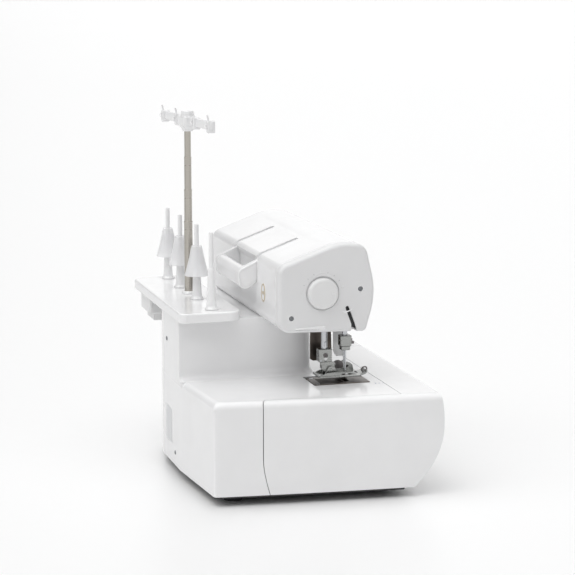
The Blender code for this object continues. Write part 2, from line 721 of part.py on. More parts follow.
def make_antenna():
    x, y = ANTENNA
    low = TRAY_TOP + GAP
    for number, top in enumerate(TUBE_TOPS, 1):
        radius = TUBE_RADIUS - (number - 1) * (TUBE_WALL + TUBE_RUN)
        bore = radius - TUBE_WALL
        profile = [(radius, top - low), (radius, 0), (bore, 0), (bore, top - low)]
        turned(f"antenna_tube_{number}", (x, y, low), "Z", profile, "steel", 20)
        low = top - TUBE_LAP


def make_guide_bar():
    """The bar over the antenna, with its hub, its clips, their slits and prongs."""
    x, y = ANTENNA
    hub = (x, y, GUIDE_BAR_LOW)
    low, high = GUIDE_BAR_LOW + 8.0, GUIDE_BAR_TOP - 6.5
    half = GUIDE_BAR_HALF
    bar = box("thread_guide_bar", (x - half, y - 1.8, low), (x + half, y + 1.8, high), "gloss_white", hub)
    added = [
        rod("guide_hub", hub, (x, y, GUIDE_BAR_TOP), GUIDE_HUB, pivot=hub),
        box("guide_block", (x - 14.0, y - 9.0, low - 0.6), (x + 14.0, y + 9.0, high + 0.6), pivot=hub),
    ]
    last_radius = TUBE_RADIUS - (len(TUBE_TOPS) - 1) * (TUBE_WALL + TUBE_RUN)
    bore = (x, y, GUIDE_BAR_LOW - 8.0), (x, y, TUBE_TOPS[-1] + GAP)
    removed = [rod("guide_bore", *bore, last_radius + RUN, pivot=hub)]
    for number, offset in enumerate(GUIDE_CLIPS, 1):
        left, right = x + offset - 3.0, x + offset + 3.0
        clip = (left, y - 5.0, low - 2.5), (right, y + 5.0, high + 0.9)
        added.append(box(f"guide_clip_{number}", *clip, pivot=hub))
        prong = (left + 1.8, y + 2.4, high - 1.0), (right - 1.8, y + 4.4, high + 8.0)
        added.append(box(f"guide_prong_{number}", *prong, pivot=hub))
        slit = (left + 1.9, y - 9.0, low + 1.8), (right - 1.9, y + 9.0, high - 2.6)
        removed.append(box(f"guide_slit_{number}", *slit, pivot=hub))
    for piece in [bar] + added + removed:
        piece.rotation_euler = (0, 0, math.radians(GUIDE_BAR_TURN))
    join(bar, *added)
    cut(bar, *removed)


# ---------------------------------------------------------------- head mechanism and needle plate


def make_frame():
    frame = box("frame_casting", (SLAB_LEFT, -190.0, SLAB[0]), (SLAB_RIGHT, -42.0, SLAB[1]), "cast_metal")
    beam = (FRAME_FRONT + 2, FRAME_REAR - 2)
    top = SHAFT[1] + SHAFT_RADIUS + 8.0
    (x, y), (nx, ny) = PRESSER, NEEDLE_BAR
    join(
        frame,
        box("frame_post", (POST_LEFT, FRAME_FRONT, 8.0), (POST_RIGHT, FRAME_REAR, 204.0)),
        box("frame_beam", (SPINE[1] - 4, beam[0], GUIDE_LOW[0]), (BODY_RIGHT - 17, beam[1], GUIDE_LOW[1])),
        box("frame_spine", (SPINE[0], -190.0, 181.0), (SPINE[1], -146.0, GUIDE_HIGH[1] - 0.5)),
        box("guide_lower", (58.0, -191.0, GUIDE_LOW[0] + 1), (98.0, -145.0, GUIDE_LOW[1] - 1)),
        box("guide_upper", (58.0, -191.0, GUIDE_HIGH[0]), (98.0, -145.0, GUIDE_HIGH[1])),
        box("right_bearing", (SLAB_RIGHT - 9, FRAME_FRONT, 9.0), (SLAB_RIGHT - 1, beam[1] - 6, top)),
        box("looper_bearing", (28.0, -189.0, 9.0), (96.0, -183.0, 62.0)),
        box("knife_bearing", (106.5, -168.0, 9.0), (112.5, -152.0, KNIFE_PIVOT[1] + 10)),
    )
    cut(
        frame,
        rod("presser_bore", (x, y, 180.0), (x, y, 270.0), PRESSER_RADIUS + RUN),
        rod("needle_bar_bore", (nx, ny, 180.0), (nx, ny, 270.0), NEEDLE_BAR_RADIUS + RUN),
        rod("shaft_bearing_bore", (120.0, *SHAFT), (SLAB_RIGHT + 11, *SHAFT), SHAFT_RADIUS + RUN),
        rod("knife_bore", (104.0, *KNIFE_PIVOT), (115.0, *KNIFE_PIVOT), PIVOT_RADIUS + RUN, sides=16),
        rod("lifter_bore", (90.0, *LIFTER_PIVOT), (110.0, *LIFTER_PIVOT), SMALL_PIVOT + RUN, sides=12),
    )
    for name, (px, pz) in LOOPER_PIVOTS.items():
        cut(frame, rod(name + "_bore", (px, -200.0, pz), (px, -170.0, pz), PIVOT_RADIUS + RUN, sides=16))


def make_plate():
    top = BED_HEIGHT + PLATE_PROUD
    low = (PLATE_LEFT, PLATE_FRONT, BED_HEIGHT - WALL)
    plate = box("needle_plate", low, (PLATE_RIGHT, PLATE_REAR, top), "dark_steel")
    cut(
        plate,
        box("dog_slot", (62.0, -175.5, 100.0), (86.0, -146.5, 120.0)),
        box("needle_slot", (65.0, -184.0, 100.0), (81.0, -178.0, 120.0)),
    )
    dog = box("feed_dog", (64.0, -173.0, 84.0), (84.0, -149.0, BED_HEIGHT - 5.0), "dark_steel")
    for number in range(5):
        y = -172.0 + number * 4.9
        join(dog, box(f"dog_tooth_{number}", (64.5, y, 104.0), (83.5, y + 2.5, BED_HEIGHT - 1.0)))


def make_presser():
    x, y = PRESSER
    bar = rod("presser_bar", (x, y, 137.0), (x, y, 263.0), PRESSER_RADIUS, "steel")
    join(bar, rod("presser_collar", (x, y, 206.0), (x, y, 210.5), 7.0))
    pin = (y - 7.0, SOLE_LOW + 8.7)
    ankle = box("presser_ankle", (x - 6, y - 8, 132.0), (x + 6, y + 8, 150.0), "steel")
    join(ankle, box("ankle_tongue", (x - 4, y - 12, SOLE_LOW + 4.2), (x + 4, y + 4, 134.0)))
    cut(ankle, rod("ankle_socket", (x, y, 136.5), (x, y, 160.0), PRESSER_RADIUS + RUN))
    cut(ankle, rod("ankle_eye", (x - 9, *pin), (x + 9, *pin), FOOT_PIN + RUN, sides=12))
    low = (x - 15, -198.0, SOLE_LOW)
    foot = box("presser_foot", low, (x + 15, -146.0, SOLE_LOW + 2.5), "dark_steel", (x, *pin))
    toe = [(-203.5, 123.5), (-205.5, 123.5), (-204.5, 119.0), (-199.0, SOLE_LOW)]
    toe += [(-194.0, SOLE_LOW + 0.5), (-194.0, 118.5)]
    join(foot, prism("foot_toe", "X", [toe], x - 9, x + 9))
    cut(foot, box("foot_slot", (64.0, -187.0, 110.0), (82.0, -174.0, 125.0)))
    for side in (-1, 1):
        middle = x + side * 6.0
        low = (middle - 1.4, y - 15, SOLE_LOW + 1.5)
        join(foot, box(f"foot_cheek_{side}", low, (middle + 1.4, y + 1, SOLE_LOW + 12.5)))
    join(foot, rod("foot_pin", (x - 8.2, *pin), (x + 8.2, *pin), FOOT_PIN, sides=12))
    outline = pill(LIFTER_PIVOT, (-157.0, 158.0), 7.0, 5.0)
    lever = prism("lifter_lever", "X", [outline], SPINE[1] + 2, SPINE[1] + 7, "dark_plastic")
    pin = (SPINE[0] + 1, *LIFTER_PIVOT), (SPINE[1] + 4, *LIFTER_PIVOT)
    join(lever, rod("lifter_pin", *pin, SMALL_PIVOT, sides=12))


def make_spring():
    x, y = PRESSER
    turns, per_turn = 6, 10
    low, high = 212.0, GUIDE_HIGH[0] - 1.5
    curve = bpy.data.curves.new("presser_spring", "CURVE")
    curve.dimensions = "3D"
    curve.bevel_depth = 0.7 * MM
    curve.bevel_resolution = 0
    curve.use_fill_caps = True
    spline = curve.splines.new("POLY")
    count = turns * per_turn
    spline.points.add(count)
    for k, point in enumerate(spline.points):
        angle = 2 * math.pi * k / per_turn
        spot = place(x + 5.9 * math.cos(angle), y + 5.9 * math.sin(angle), low + (high - low) * k / count)
        point.co = (*spot, 1.0)
    spring = bpy.data.objects.new("presser_spring", curve)
    curve.materials.append(MATERIALS["steel"])
    PARTS.objects.link(spring)


def make_needles():
    x, y = NEEDLE_BAR
    low, high = CLAMP
    socket = low + 7.5
    rod("needle_bar", (x, y, socket + GAP), (x, y, 269.0), NEEDLE_BAR_RADIUS, "steel")
    half = CLAMP_HALF
    clamp = box("needle_clamp", (x - half, y - half, low), (x + half, y + half, high), "steel")
    screw = low + 10.0
    join(clamp, rod("clamp_screw", (x, y - half - 5.0, screw), (x, y - 4.5, screw), 2.6, sides=12))
    cut(clamp, rod("clamp_bore", (x, y, socket), (x, y, high + 14.0), NEEDLE_BAR_RADIUS + RUN))
    for number, side in enumerate((-0.5, 0.5), 1):
        spot = x + side * NEEDLE_SPACING
        ends = (spot, y, low - GAP), (spot, y, NEEDLE_TIP)
        rod(f"needle_{number}", *ends, NEEDLE_RADIUS, "steel", sides=10, end_radius=0.3)


def make_loopers():
    tips = {"upper_looper": ((60.0, 98.0), -199.5, -194.5), "lower_looper": ((70.0, 98.0), -208.0, -203.0)}
    for name, (tip, low, high) in tips.items():
        px, pz = LOOPER_PIVOTS[name]
        outline = [(z, x) for x, z in pill((px, pz), tip, 8.0, 2.2)]
        looper = prism(name, "Y", [outline], low, high, "steel", (px, low, pz))
        join(looper, rod(name + "_shaft", (px, high - 2.0, pz), (px, -176.0, pz), PIVOT_RADIUS, sides=16))
    low, high = (98.3, -194.0, SLAB[1] + GAP), (100.0, -178.0, BED_HEIGHT + 1.2)
    low_knife = box("lower_knife", low, high, "dark_steel")
    soften(low_knife, 0.3, 1)
    blade = pill(KNIFE_PIVOT, (-190.0, 122.0), 8.0, 5.0)
    knife = prism("upper_knife", "X", [blade], 100.6, 103.0, "dark_steel", (100.6, *KNIFE_PIVOT))
    join(knife, rod("knife_shaft", (102.0, *KNIFE_PIVOT), (118.0, *KNIFE_PIVOT), PIVOT_RADIUS, sides=16))


# ---------------------------------------------------------------- drive and controls


def make_drive():
    rod("main_shaft", (118.0, *SHAFT), (WHEEL_RIGHT - 5.5, *SHAFT), SHAFT_RADIUS, "steel")
    bore = SHAFT_RADIUS + GAP
    wide = PULLEY_RIGHT - PULLEY_LEFT
    rim = SHAFT_PULLEY_RADIUS
    profile = [(rim, wide), (rim, 0), (bore, 0), (bore, wide)]
    turned("shaft_pulley", (PULLEY_LEFT, *SHAFT), "X", profile, "cast_metal")
    width = WHEEL_RIGHT - WHEEL_LEFT
    outer = WHEEL_RADIUS
    profile = [(0, width), (outer - 8, width), (outer - 2, width - 2), (outer, width - 6), (outer, 3)]
    profile += [(outer - 3, 0), (bore, 0), (bore, width - 5), (0, width - 5)]
    turned("handwheel", (WHEEL_LEFT, *SHAFT), "X", profile, "face_grey", 32)
    motor = rod("motor", (MOTOR_LEFT, *MOTOR), (MOTOR_RIGHT, *MOTOR), MOTOR_RADIUS, "cast_metal", sides=24)
    bore = (MOTOR_RIGHT - 14, *MOTOR), (MOTOR_RIGHT + 16, *MOTOR)
    cut(motor, rod("motor_bore", *bore, MOTOR_SHAFT_RADIUS + RUN))
    ends = (PULLEY_LEFT, *MOTOR), (PULLEY_RIGHT, *MOTOR)
    pulley = rod("motor_pulley", *ends, MOTOR_PULLEY_RADIUS, "cast_metal")
    shaft = (MOTOR_RIGHT - 13, *MOTOR), (PULLEY_RIGHT - 4, *MOTOR)
    join(pulley, rod("motor_shaft", *shaft, MOTOR_SHAFT_RADIUS, sides=16))
    small = MOTOR_PULLEY_RADIUS + BELT_GAP
    inner = pill(SHAFT, MOTOR, rim + BELT_GAP, small, 12)
    outer = pill(SHAFT, MOTOR, rim + BELT_GAP + BELT_THICK, small + BELT_THICK, 12)
    prism("drive_belt", "X", [outer, inner], PULLEY_LEFT + 2, PULLEY_RIGHT - 2, "rubber")


def make_controls():
    profile = [(0, 9), (DIAL_RADIUS - 1.2, 9), (DIAL_RADIUS, 7.5), (DIAL_RADIUS, 0), (DIAL_STEM, 0)]
    profile += [(DIAL_STEM, -11), (0, -11)]
    for name, y in SIDE_DIALS.items():
        turned(name, (BODY_RIGHT + 0.6, y, SIDE_DIAL_Z), "X", profile, "face_grey")
    (low_y, low_z), (high_y, high_z) = POWER_HOLES["inlet"]
    low = (BODY_RIGHT - 18.0, low_y + 0.4, low_z + 0.4)
    inlet = box("power_inlet", low, (BODY_RIGHT + 0.6, high_y - 0.4, high_z - 0.4), "dark_plastic")
    low = (BODY_RIGHT - 14.0, low_y + 5.0, low_z + 6.0)
    cut(inlet, box("inlet_socket", low, (BODY_RIGHT + 9.0, high_y - 5.0, high_z - 6.0)))
    (low_y, low_z), (high_y, high_z) = POWER_HOLES["switch"]
    middle = (BODY_RIGHT - 3.0, (low_y + high_y) / 2, (low_z + high_z) / 2)
    y = middle[1]
    rocker = [(BODY_RIGHT - 8, y - 8), (BODY_RIGHT - 8, y + 8), (BODY_RIGHT + 2.5, y + 8.5)]
    rocker += [(BODY_RIGHT + 1.2, y), (BODY_RIGHT + 2.5, y - 8.5)]
    prism("power_switch", "Z", [rocker], low_z + 4, high_z - 4, "dark_plastic", middle)


make_lower_casing()
make_covers()
make_base()
make_upper_casing()
make_face_cover()
make_carry_handle()
make_tension_dials()
make_tray()
make_spool_pins()
make_antenna()
make_guide_bar()
make_frame()
make_plate()
make_presser()
make_spring()
make_needles()
make_loopers()
make_drive()
make_controls()
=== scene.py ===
"""Serger overlock machine: the finished surfaces, materials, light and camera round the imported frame.

Shapes are drawn in millimetres from the bed's rear left bottom corner: X to the user's right, Y to the rear
and Z up.
"""

import json
import math

import bmesh
import bpy
from mathutils import Euler, Matrix, Vector, geometry


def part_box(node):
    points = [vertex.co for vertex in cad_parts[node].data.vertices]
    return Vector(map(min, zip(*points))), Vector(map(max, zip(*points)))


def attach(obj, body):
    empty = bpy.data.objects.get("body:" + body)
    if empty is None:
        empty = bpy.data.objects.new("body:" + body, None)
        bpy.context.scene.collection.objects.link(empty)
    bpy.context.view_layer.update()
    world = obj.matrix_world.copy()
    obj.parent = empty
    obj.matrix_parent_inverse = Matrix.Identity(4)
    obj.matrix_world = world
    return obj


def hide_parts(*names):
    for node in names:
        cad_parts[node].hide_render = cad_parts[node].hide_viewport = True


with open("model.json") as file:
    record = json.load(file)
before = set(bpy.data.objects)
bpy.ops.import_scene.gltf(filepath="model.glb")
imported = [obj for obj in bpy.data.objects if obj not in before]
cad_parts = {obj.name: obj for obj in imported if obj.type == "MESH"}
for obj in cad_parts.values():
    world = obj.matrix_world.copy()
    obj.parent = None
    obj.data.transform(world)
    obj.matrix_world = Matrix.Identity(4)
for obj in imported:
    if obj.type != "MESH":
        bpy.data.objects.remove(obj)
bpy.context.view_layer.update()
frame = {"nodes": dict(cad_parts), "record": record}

MM = 0.001
GAP = 0.3
WALL = 2.5
SEAM = 0.8
BODY_RIGHT = 352.0
REAR_STEP = 10.4  # how far the column stands behind the bed
CASING_LOW, CASING_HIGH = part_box("lower_casing")
CORNER = Vector((CASING_HIGH.x - BODY_RIGHT * MM, CASING_HIGH.y - REAR_STEP * MM, CASING_LOW.z))
TO_ROW = Matrix.Translation(CORNER) @ Matrix.Scale(MM, 4)


def frame_box(node):
    """A node's corners in machine millimetres."""
    low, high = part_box(node)
    return (low - CORNER) / MM, (high - CORNER) / MM

# Bed and column
BODY_DEPTH = 271.0
BED_HEIGHT = 110.0
BED_UNDERCUT = 35.0
BED_BELLY = 75.0
BED_LEAN = 4.0
LEFT_BOW = 25.0
BOW_START = 1.336  # the left edge's slope at the rear, in bows per bed depth
BELLY_CURVE = 2.2
EDGE = 8.0
COLUMN_LEFT = 126.0
COLUMN_FRONT = -156.0
COLUMN_TOP = 183.0
COLUMN_STEP = 0.2
COLUMN_CORNER = 12.0
FOOT_FILLET = 9.0  # between the column and the bed's top
REAR_RADIUS = 150.0
FRONT_RADIUS = 20.0
SIDE_SEAM = -57.0
SIDE_WRAP = 10.0
LOOPER_SEAM = -222.0
LOOPER_RIGHT = 262.0

# Arm, head and handle
FACE_LEFT = 33.0
FACE_DEPTH = 14.0
FACE_EDGE = 4.5
ARM_RIGHT = 350.0
ARM_CORNERS = (
    (-87.0, 180.0, 14.0),
    (-87.0, 257.0, 12.0),
    (-160.0, 283.5, 60.0),
    (-193.0, 280.0, 16.0),
    (-206.5, 222.0, 90.0),
    (-193.5, 177.0, 6.0),
)
HEAD_OPENING = ((58.0, -192.0), (120.0, -146.0))
FACE_DIAL = (-139.5, 225.0)
FACE_SCREWS = ((-102.0, 197.0), (-186.0, 228.0))
THREAD_SLOT = (
    (-175.5, 170.0, 0.5),
    (-175.0, 187.0, 6.0),
    (-167.3, 207.5, 2.0),
    (-171.3, 209.0, 2.0),
    (-179.2, 188.0, 6.0),
    (-185.0, 170.0, 0.5),
)
BADGE = (100.0, 217.0)  # X, Z on the arm's rear
HANDLE_PIVOT = (-131.8, 265.8)
GRIP_CENTRE = (-72.6, 234.3)
GRIP_HANG = (-73.4, 225.8)
GRIP_RADIUS = 8.6
HANDLE_LEFT = 128.0
HANDLE_RIGHT = 240.0
HANDLE_ARM = 8.0
HANDLE_EYE = 5.4
RECESS_SIDE = 0.8
RECESS_UNDER = GRIP_RADIUS + 6.4
RECESS_AHEAD = HANDLE_EYE + 1.8
FINGER_ROOM = GRIP_RADIUS + 15.5
FINGER_RAMP = 7.5
TENSION_X = (143.0, 184.0, 225.0, 266.0)
TENSION_Z = 222.0

# Tray, pins and antenna
TRAY_LOW, TRAY_HIGH = frame_box("thread_tray")
TRAY_CORNER = 18.0
ANTENNA = (242.0, -30.4)
PIN_SPACING = (-115.0, -42.5, 45.0, 115.0)
SLEEVE_TOP = 243.0
PIN_TOP = 288.0
TUBE_TOPS = (286.0, 325.5, 366.0, 412.0)
TUBE_RADIUS = 5.25
TUBE_STEP = 0.4
TUBE_WALL = 0.3
TUBE_LAP = 12.0
GUIDE_BAR_LOW = 398.0
GUIDE_BAR_TOP = 423.0
GUIDE_BAR_HALF = 89.0
GUIDE_BAR_TURN = 5.6
GUIDE_CLIPS = (-85.0, -33.0, 33.0, 85.0)

# Stitching parts and drive
PRESSER = (78.0, -156.0)
NEEDLE_BAR = (73.0, -180.0)
SHAFT = (-128.0, 92.0)
PLATE_LEFT = 57.0
PLATE_SLOT_RIGHT = 106.0
PLATE_REAR = -138.0
PLATE_FRONT = -207.0
SOLE = 116.3  # the underside of the raised foot

# The studio: the floor under the feet, the light from all round, and what polished metal mirrors
FLOOR_TOP = -12.0
FLOOR_HALF = 60000.0
WORLD_LIGHT = 0.3
WORLD_MIRRORED = 1.05
CAMERA_AT = (-2.213, 0.64475, 0.6266)
CAMERA_AIM = (0.9443, -0.2797, -0.1736)
CAMERA_LENS = 118.96


# ---------------------------------------------------------------- materials


def node(tree, kind, **inputs):
    made = tree.nodes.new("ShaderNode" + kind)
    for key, value in inputs.items():
        made.inputs[key.replace("_", " ")].default_value = value
    return made


def noise(tree, scale, stretch=(1, 1, 1)):
    """Noise in the object's own metres."""
    where = tree.nodes.new("ShaderNodeTexCoord")
    mapping = node(tree, "Mapping", Scale=stretch)
    texture = node(tree, "TexNoise", Scale=scale, Detail=3.0)
    tree.links.new(where.outputs["Object"], mapping.inputs["Vector"])
    tree.links.new(mapping.outputs["Vector"], texture.inputs["Vector"])
    return texture.outputs["Fac"]


def spread(tree, source, low, high):
    ranged = node(tree, "MapRange", To_Min=low, To_Max=high)
    ranged.inputs["From Min"].default_value = 0.3
    ranged.inputs["From Max"].default_value = 0.7
    tree.links.new(source, ranged.inputs["Value"])
    return ranged.outputs["Result"]


def material(name, colour, roughness, mottle=0.015, grain=700.0, bump=0.02, stretch=(1, 1, 1), **sockets):
    """A shader with slight variation of colour and gloss, and a fine surface texture."""
    made = bpy.data.materials.new(name)
    made.use_nodes = True
    tree = made.node_tree
    shader = tree.nodes["Principled BSDF"]
    for key, value in sockets.items():
        shader.inputs[key.replace("_", " ")].default_value = value
    mix = tree.nodes.new("ShaderNodeMix")
    mix.data_type = "RGBA"
    mix.inputs["A"].default_value = (*[c * (1 - mottle) for c in colour], 1.0)
    mix.inputs["B"].default_value = (*[min(1.0, c * (1 + mottle)) for c in colour], 1.0)
    tree.links.new(spread(tree, noise(tree, 24.0), 0.0, 1.0), mix.inputs["Factor"])
    tree.links.new(mix.outputs["Result"], shader.inputs["Base Color"])
    rough = spread(tree, noise(tree, 60.0, stretch), roughness * 0.88, roughness * 1.12)
    tree.links.new(rough, shader.inputs["Roughness"])
    relief = node(tree, "Bump", Strength=bump, Distance=0.0004)
    tree.links.new(noise(tree, grain, stretch), relief.inputs["Height"])
    tree.links.new(relief.outputs["Normal"], shader.inputs["Normal"])
    return made


WHITE = material("white_gloss_plastic", (0.87, 0.87, 0.875), 0.2, Coat_Weight=0.35, Coat_Roughness=0.08)
# The face cover is the arm's own white plastic, painted a darker grey as shade, because the face turns away
# from the light.
FACE_PAINTED_SHADE = material("face_plastic_painted_shade", (0.78, 0.78, 0.785), 0.38, bump=0.05)
DIAL = material("dial_satin_plastic", (0.8, 0.8, 0.8), 0.32, bump=0.04)
FROSTED = material("frosted_polypropylene", (0.95, 0.95, 0.96), 0.42, bump=0.08, Alpha=0.62)
STEEL = material(
    "polished_tube_steel", (0.45, 0.425, 0.385), 0.12, grain=250.0, bump=0.06, stretch=(1, 1, 30),
    Metallic=1.0,
)
BRIGHT = material(
    "machined_steel", (0.52, 0.53, 0.55), 0.24, 0.05, stretch=(1, 1, 12), bump=0.1, Metallic=1.0
)
NICKEL = material(
    "satin_nickel", (0.33, 0.335, 0.325), 0.26, 0.08, stretch=(1, 1, 6), bump=0.12, Metallic=1.0
)
DARK = material("dark_hardened_steel", (0.14, 0.13, 0.13), 0.3, 0.08, bump=0.08, Metallic=1.0)
BROWN = material("blued_steel", (0.1, 0.085, 0.075), 0.34, 0.08, bump=0.08, Metallic=1.0)
CAST = material("cast_aluminium", (0.5, 0.5, 0.52), 0.5, 0.06, grain=1400.0, bump=0.35, Metallic=1.0)
BLACK = material("dark_moulded_plastic", (0.045, 0.046, 0.05), 0.48, 0.1, grain=2200.0, bump=0.3)
SCREW = material("grey_screw_steel", (0.22, 0.23, 0.24), 0.38, 0.06, bump=0.1, Metallic=1.0)
RUBBER = material("rubber", (0.028, 0.028, 0.03), 0.8, 0.15, grain=1800.0, bump=0.4)
COPPER = material("motor_winding_cover", (0.2, 0.19, 0.18), 0.5, 0.1, bump=0.2, Metallic=0.6)
CHAMPAGNE = material("champagne_badge", (0.62, 0.53, 0.38), 0.3, 0.06, Metallic=0.7)
LABEL = material("blank_label", (0.7, 0.71, 0.72), 0.45, 0.03)
TICK = material("grey_print", (0.5, 0.51, 0.52), 0.45, 0.03)
BLUE = material("blue_grey_print", (0.2, 0.25, 0.36), 0.45, 0.05)

# The looks in each of the record's slots. The frame's own nodes wear the first of them.
SLOT_LOOKS = {
    "gloss_white": (WHITE,),
    "face_grey": (DIAL, FACE_PAINTED_SHADE),
    "frosted": (FROSTED,),
    "steel": (BRIGHT, STEEL, NICKEL),
    "dark_steel": (DARK, BROWN, SCREW),
    "cast_metal": (CAST,),
    "dark_plastic": (BLACK,),
    "rubber": (RUBBER,),
}
NODE_LOOKS = {"motor": COPPER, "needle_plate": BROWN}
SLOTS = {look: slot for slot, looks in SLOT_LOOKS.items() for look in looks}


# ---------------------------------------------------------------- building blocks


def from_bmesh(name, bm):
    bmesh.ops.recalc_face_normals(bm, faces=bm.faces)
    mesh = bpy.data.meshes.new(name)
    bm.to_mesh(mesh)
    bm.free()
    obj = bpy.data.objects.new(name, mesh)
    bpy.context.scene.collection.objects.link(obj)
    return obj


def loft(name, rings):
    """A skin through rings of points, capped at both ends."""
    bm = bmesh.new()
    loops = [[bm.verts.new(point) for point in ring] for ring in rings]
    for lower, upper in zip(loops, loops[1:]):
        for k in range(len(lower)):
            bm.faces.new((lower[k - 1], lower[k], upper[k], upper[k - 1]))
    bm.faces.new(loops[0])
    bm.faces.new(loops[-1])
    return from_bmesh(name, bm)


def lift(axis, outline, height):
    """An outline in YZ, ZX or XY, at a height along X, Y or Z."""
    if axis == "X":
        return [(height, u, v) for u, v in outline]
    if axis == "Y":
        return [(v, height, u) for u, v in outline]
    return [(u, v, height) for u, v in outline]


def prism(name, axis, outline, low, high):
    return loft(name, [lift(axis, outline, low), lift(axis, outline, high)])


def layered(name, axis, outline_at, layers):
    """outline_at(inset) drawn at each (inset, height) along the axis, and skinned."""
    return loft(name, [lift(axis, outline_at(inset), height) for inset, height in layers])


def round_over(low, high, radius, bottom=0.0, inset=0.0, count=8):
    """Layers of a solid whose upper edge is rounded by radius, and its lower edge by bottom."""
    turns = [math.pi / 2 * k / count for k in range(count + 1)]
    under = [(inset, low)]
    if bottom:
        under = [(inset + bottom * (1 - math.sin(a)), low + bottom * (1 - math.cos(a))) for a in turns]
    return under + [(inset + radius * (1 - math.cos(a)), high - radius * (1 - math.sin(a))) for a in turns]


def block(name, low, high):
    (x0, y0, z0), (x1, y1, z1) = low, high
    return prism(name, "Z", [(x0, y0), (x1, y0), (x1, y1), (x0, y1)], z0, z1)


def arc(centre, radius, start, end, count):
    angles = [math.radians(start + (end - start) * k / count) for k in range(count + 1)]
    return [(centre[0] + radius * math.cos(a), centre[1] + radius * math.sin(a)) for a in angles]


def circle(centre, radius, count=48):
    return arc(centre, radius, 0, 360 * (count - 1) / count, count - 1)


def rounded(corners, count=10):
    """A polygon of (u, v, radius) corners with each corner rounded."""
    outline = []
    total = len(corners)
    for k, (u, v, radius) in enumerate(corners):
        here = Vector((u, v))
        back = (Vector(corners[k - 1][:2]) - here).normalized()
        ahead = (Vector(corners[(k + 1) % total][:2]) - here).normalized()
        half = back.angle(ahead) / 2
        centre = here + (back + ahead).normalized() * radius / math.sin(half)
        start = here + back * radius / math.tan(half) - centre
        end = here + ahead * radius / math.tan(half) - centre
        sweep = start.angle_signed(end)
        steps = max(3, round(abs(sweep) / math.radians(90) * count))
        for step in range(steps + 1):
            turn = -sweep * step / steps
            x = start.x * math.cos(turn) - start.y * math.sin(turn)
            y = start.x * math.sin(turn) + start.y * math.cos(turn)
            outline.append((centre.x + x, centre.y + y))
    return outline


def shrunk(corners, distance):
    """The same polygon with every side moved in, and each radius smaller by as much."""
    total = len(corners)
    points = [Vector(corner[:2]) for corner in corners]
    area = sum(points[k - 1].cross(points[k]) for k in range(total))
    turn = 1.0 if area > 0 else -1.0
    result = []
    for k in range(total):
        before = (points[k] - points[k - 1]).normalized()
        after = (points[(k + 1) % total] - points[k]).normalized()
        inward = Vector((-before.y, before.x)) * turn
        middle = (inward + Vector((-after.y, after.x)) * turn).normalized()
        corner = points[k] + middle * distance / middle.dot(inward)
        result.append((corner.x, corner.y, max(0.6, corners[k][2] - distance)))
    return result


def rectangle(low, high, *radii):
    """Corners for rounded(), from low to high, with one radius for them all or one for each."""
    (u0, v0), (u1, v1) = low, high
    a, b, c, d = radii * 4 if len(radii) == 1 else radii
    return (u0, v0, a), (u1, v0, b), (u1, v1, c), (u0, v1, d)


def inset_by(corners, count=8):
    """A function that draws the rounded corners moved in by a distance, for layered()."""
    return lambda inset: rounded(shrunk(corners, inset) if inset else corners, count)


def hull(*groups):
    """The outline drawn tight round several circles."""
    points = [Vector(point) for group in groups for point in group]
    return [tuple(points[k]) for k in geometry.convex_hull_2d(points)]


def lathe(name, base, axis, profile, steps=64, ridges=0, depth=0.0, span=(0, 0)):
    """(radius, height) points turned about an axis. Ridges run along the profile's points in span."""
    spin = {
        "X": (0, math.pi / 2, 0),
        "-X": (0, -math.pi / 2, 0),
        "Y": (-math.pi / 2, 0, 0),
        "-Y": (math.pi / 2, 0, 0),
        "Z": (0, 0, 0),
    }
    turn = Matrix.Translation(base) @ Euler(spin[axis]).to_matrix().to_4x4()
    bm = bmesh.new()
    rings = []
    for number, (radius, height) in enumerate(profile):
        ridged = ridges and span[0] <= number <= span[1]
        ring = []
        for k in range(steps if radius > 1e-6 else 1):
            angle = 2 * math.pi * k / steps
            reach = radius - (depth * max(0.0, math.cos(angle * ridges)) if ridged else 0.0)
            point = Vector((reach * math.cos(angle), reach * math.sin(angle), height))
            ring.append(bm.verts.new(turn @ point))
        rings.append(ring)
    pairs = list(zip(rings, rings[1:]))
    if len(rings[0]) > 1 and len(rings[-1]) > 1:
        pairs.append((rings[-1], rings[0]))
    for lower, upper in pairs:
        for k in range(steps):
            corners = [lower[k - 1], lower[k]] if len(lower) > 1 else [lower[0]]
            corners += [upper[k], upper[k - 1]] if len(upper) > 1 else [upper[0]]
            bm.faces.new(corners)
    return from_bmesh(name, bm)


def eased(points, count=5):
    """An open profile of (radius, height, rounding) points with its corners rounded."""
    result = []
    for k, (u, v, radius) in enumerate(points):
        if not radius or k in (0, len(points) - 1):
            result.append((u, v))
            continue
        here = Vector((u, v))
        back = (Vector(points[k - 1][:2]) - here).normalized()
        ahead = (Vector(points[k + 1][:2]) - here).normalized()
        start, end = here + back * radius, here + ahead * radius
        for step in range(count + 1):
            t = step / count
            point = start * (1 - t) ** 2 + here * 2 * t * (1 - t) + end * t * t
            result.append(tuple(point))
    return result


def rod(name, start, end, radius, steps=32, edge=0.0):
    start, end = Vector(start), Vector(end)
    along = end - start
    turn = along.to_track_quat("Z", "Y").to_matrix()
    layers = [(radius, 0.0), (radius, along.length)]
    if edge:
        layers = [(radius, edge), (radius, along.length - edge)]
        layers = [(radius - edge, 0.0)] + layers + [(radius - edge, along.length)]
    rings = []
    for reach, height in layers:
        ring = [Vector((x, y, height)) for x, y in circle((0, 0), reach, steps)]
        rings.append([start + turn @ point for point in ring])
    return loft(name, rings)


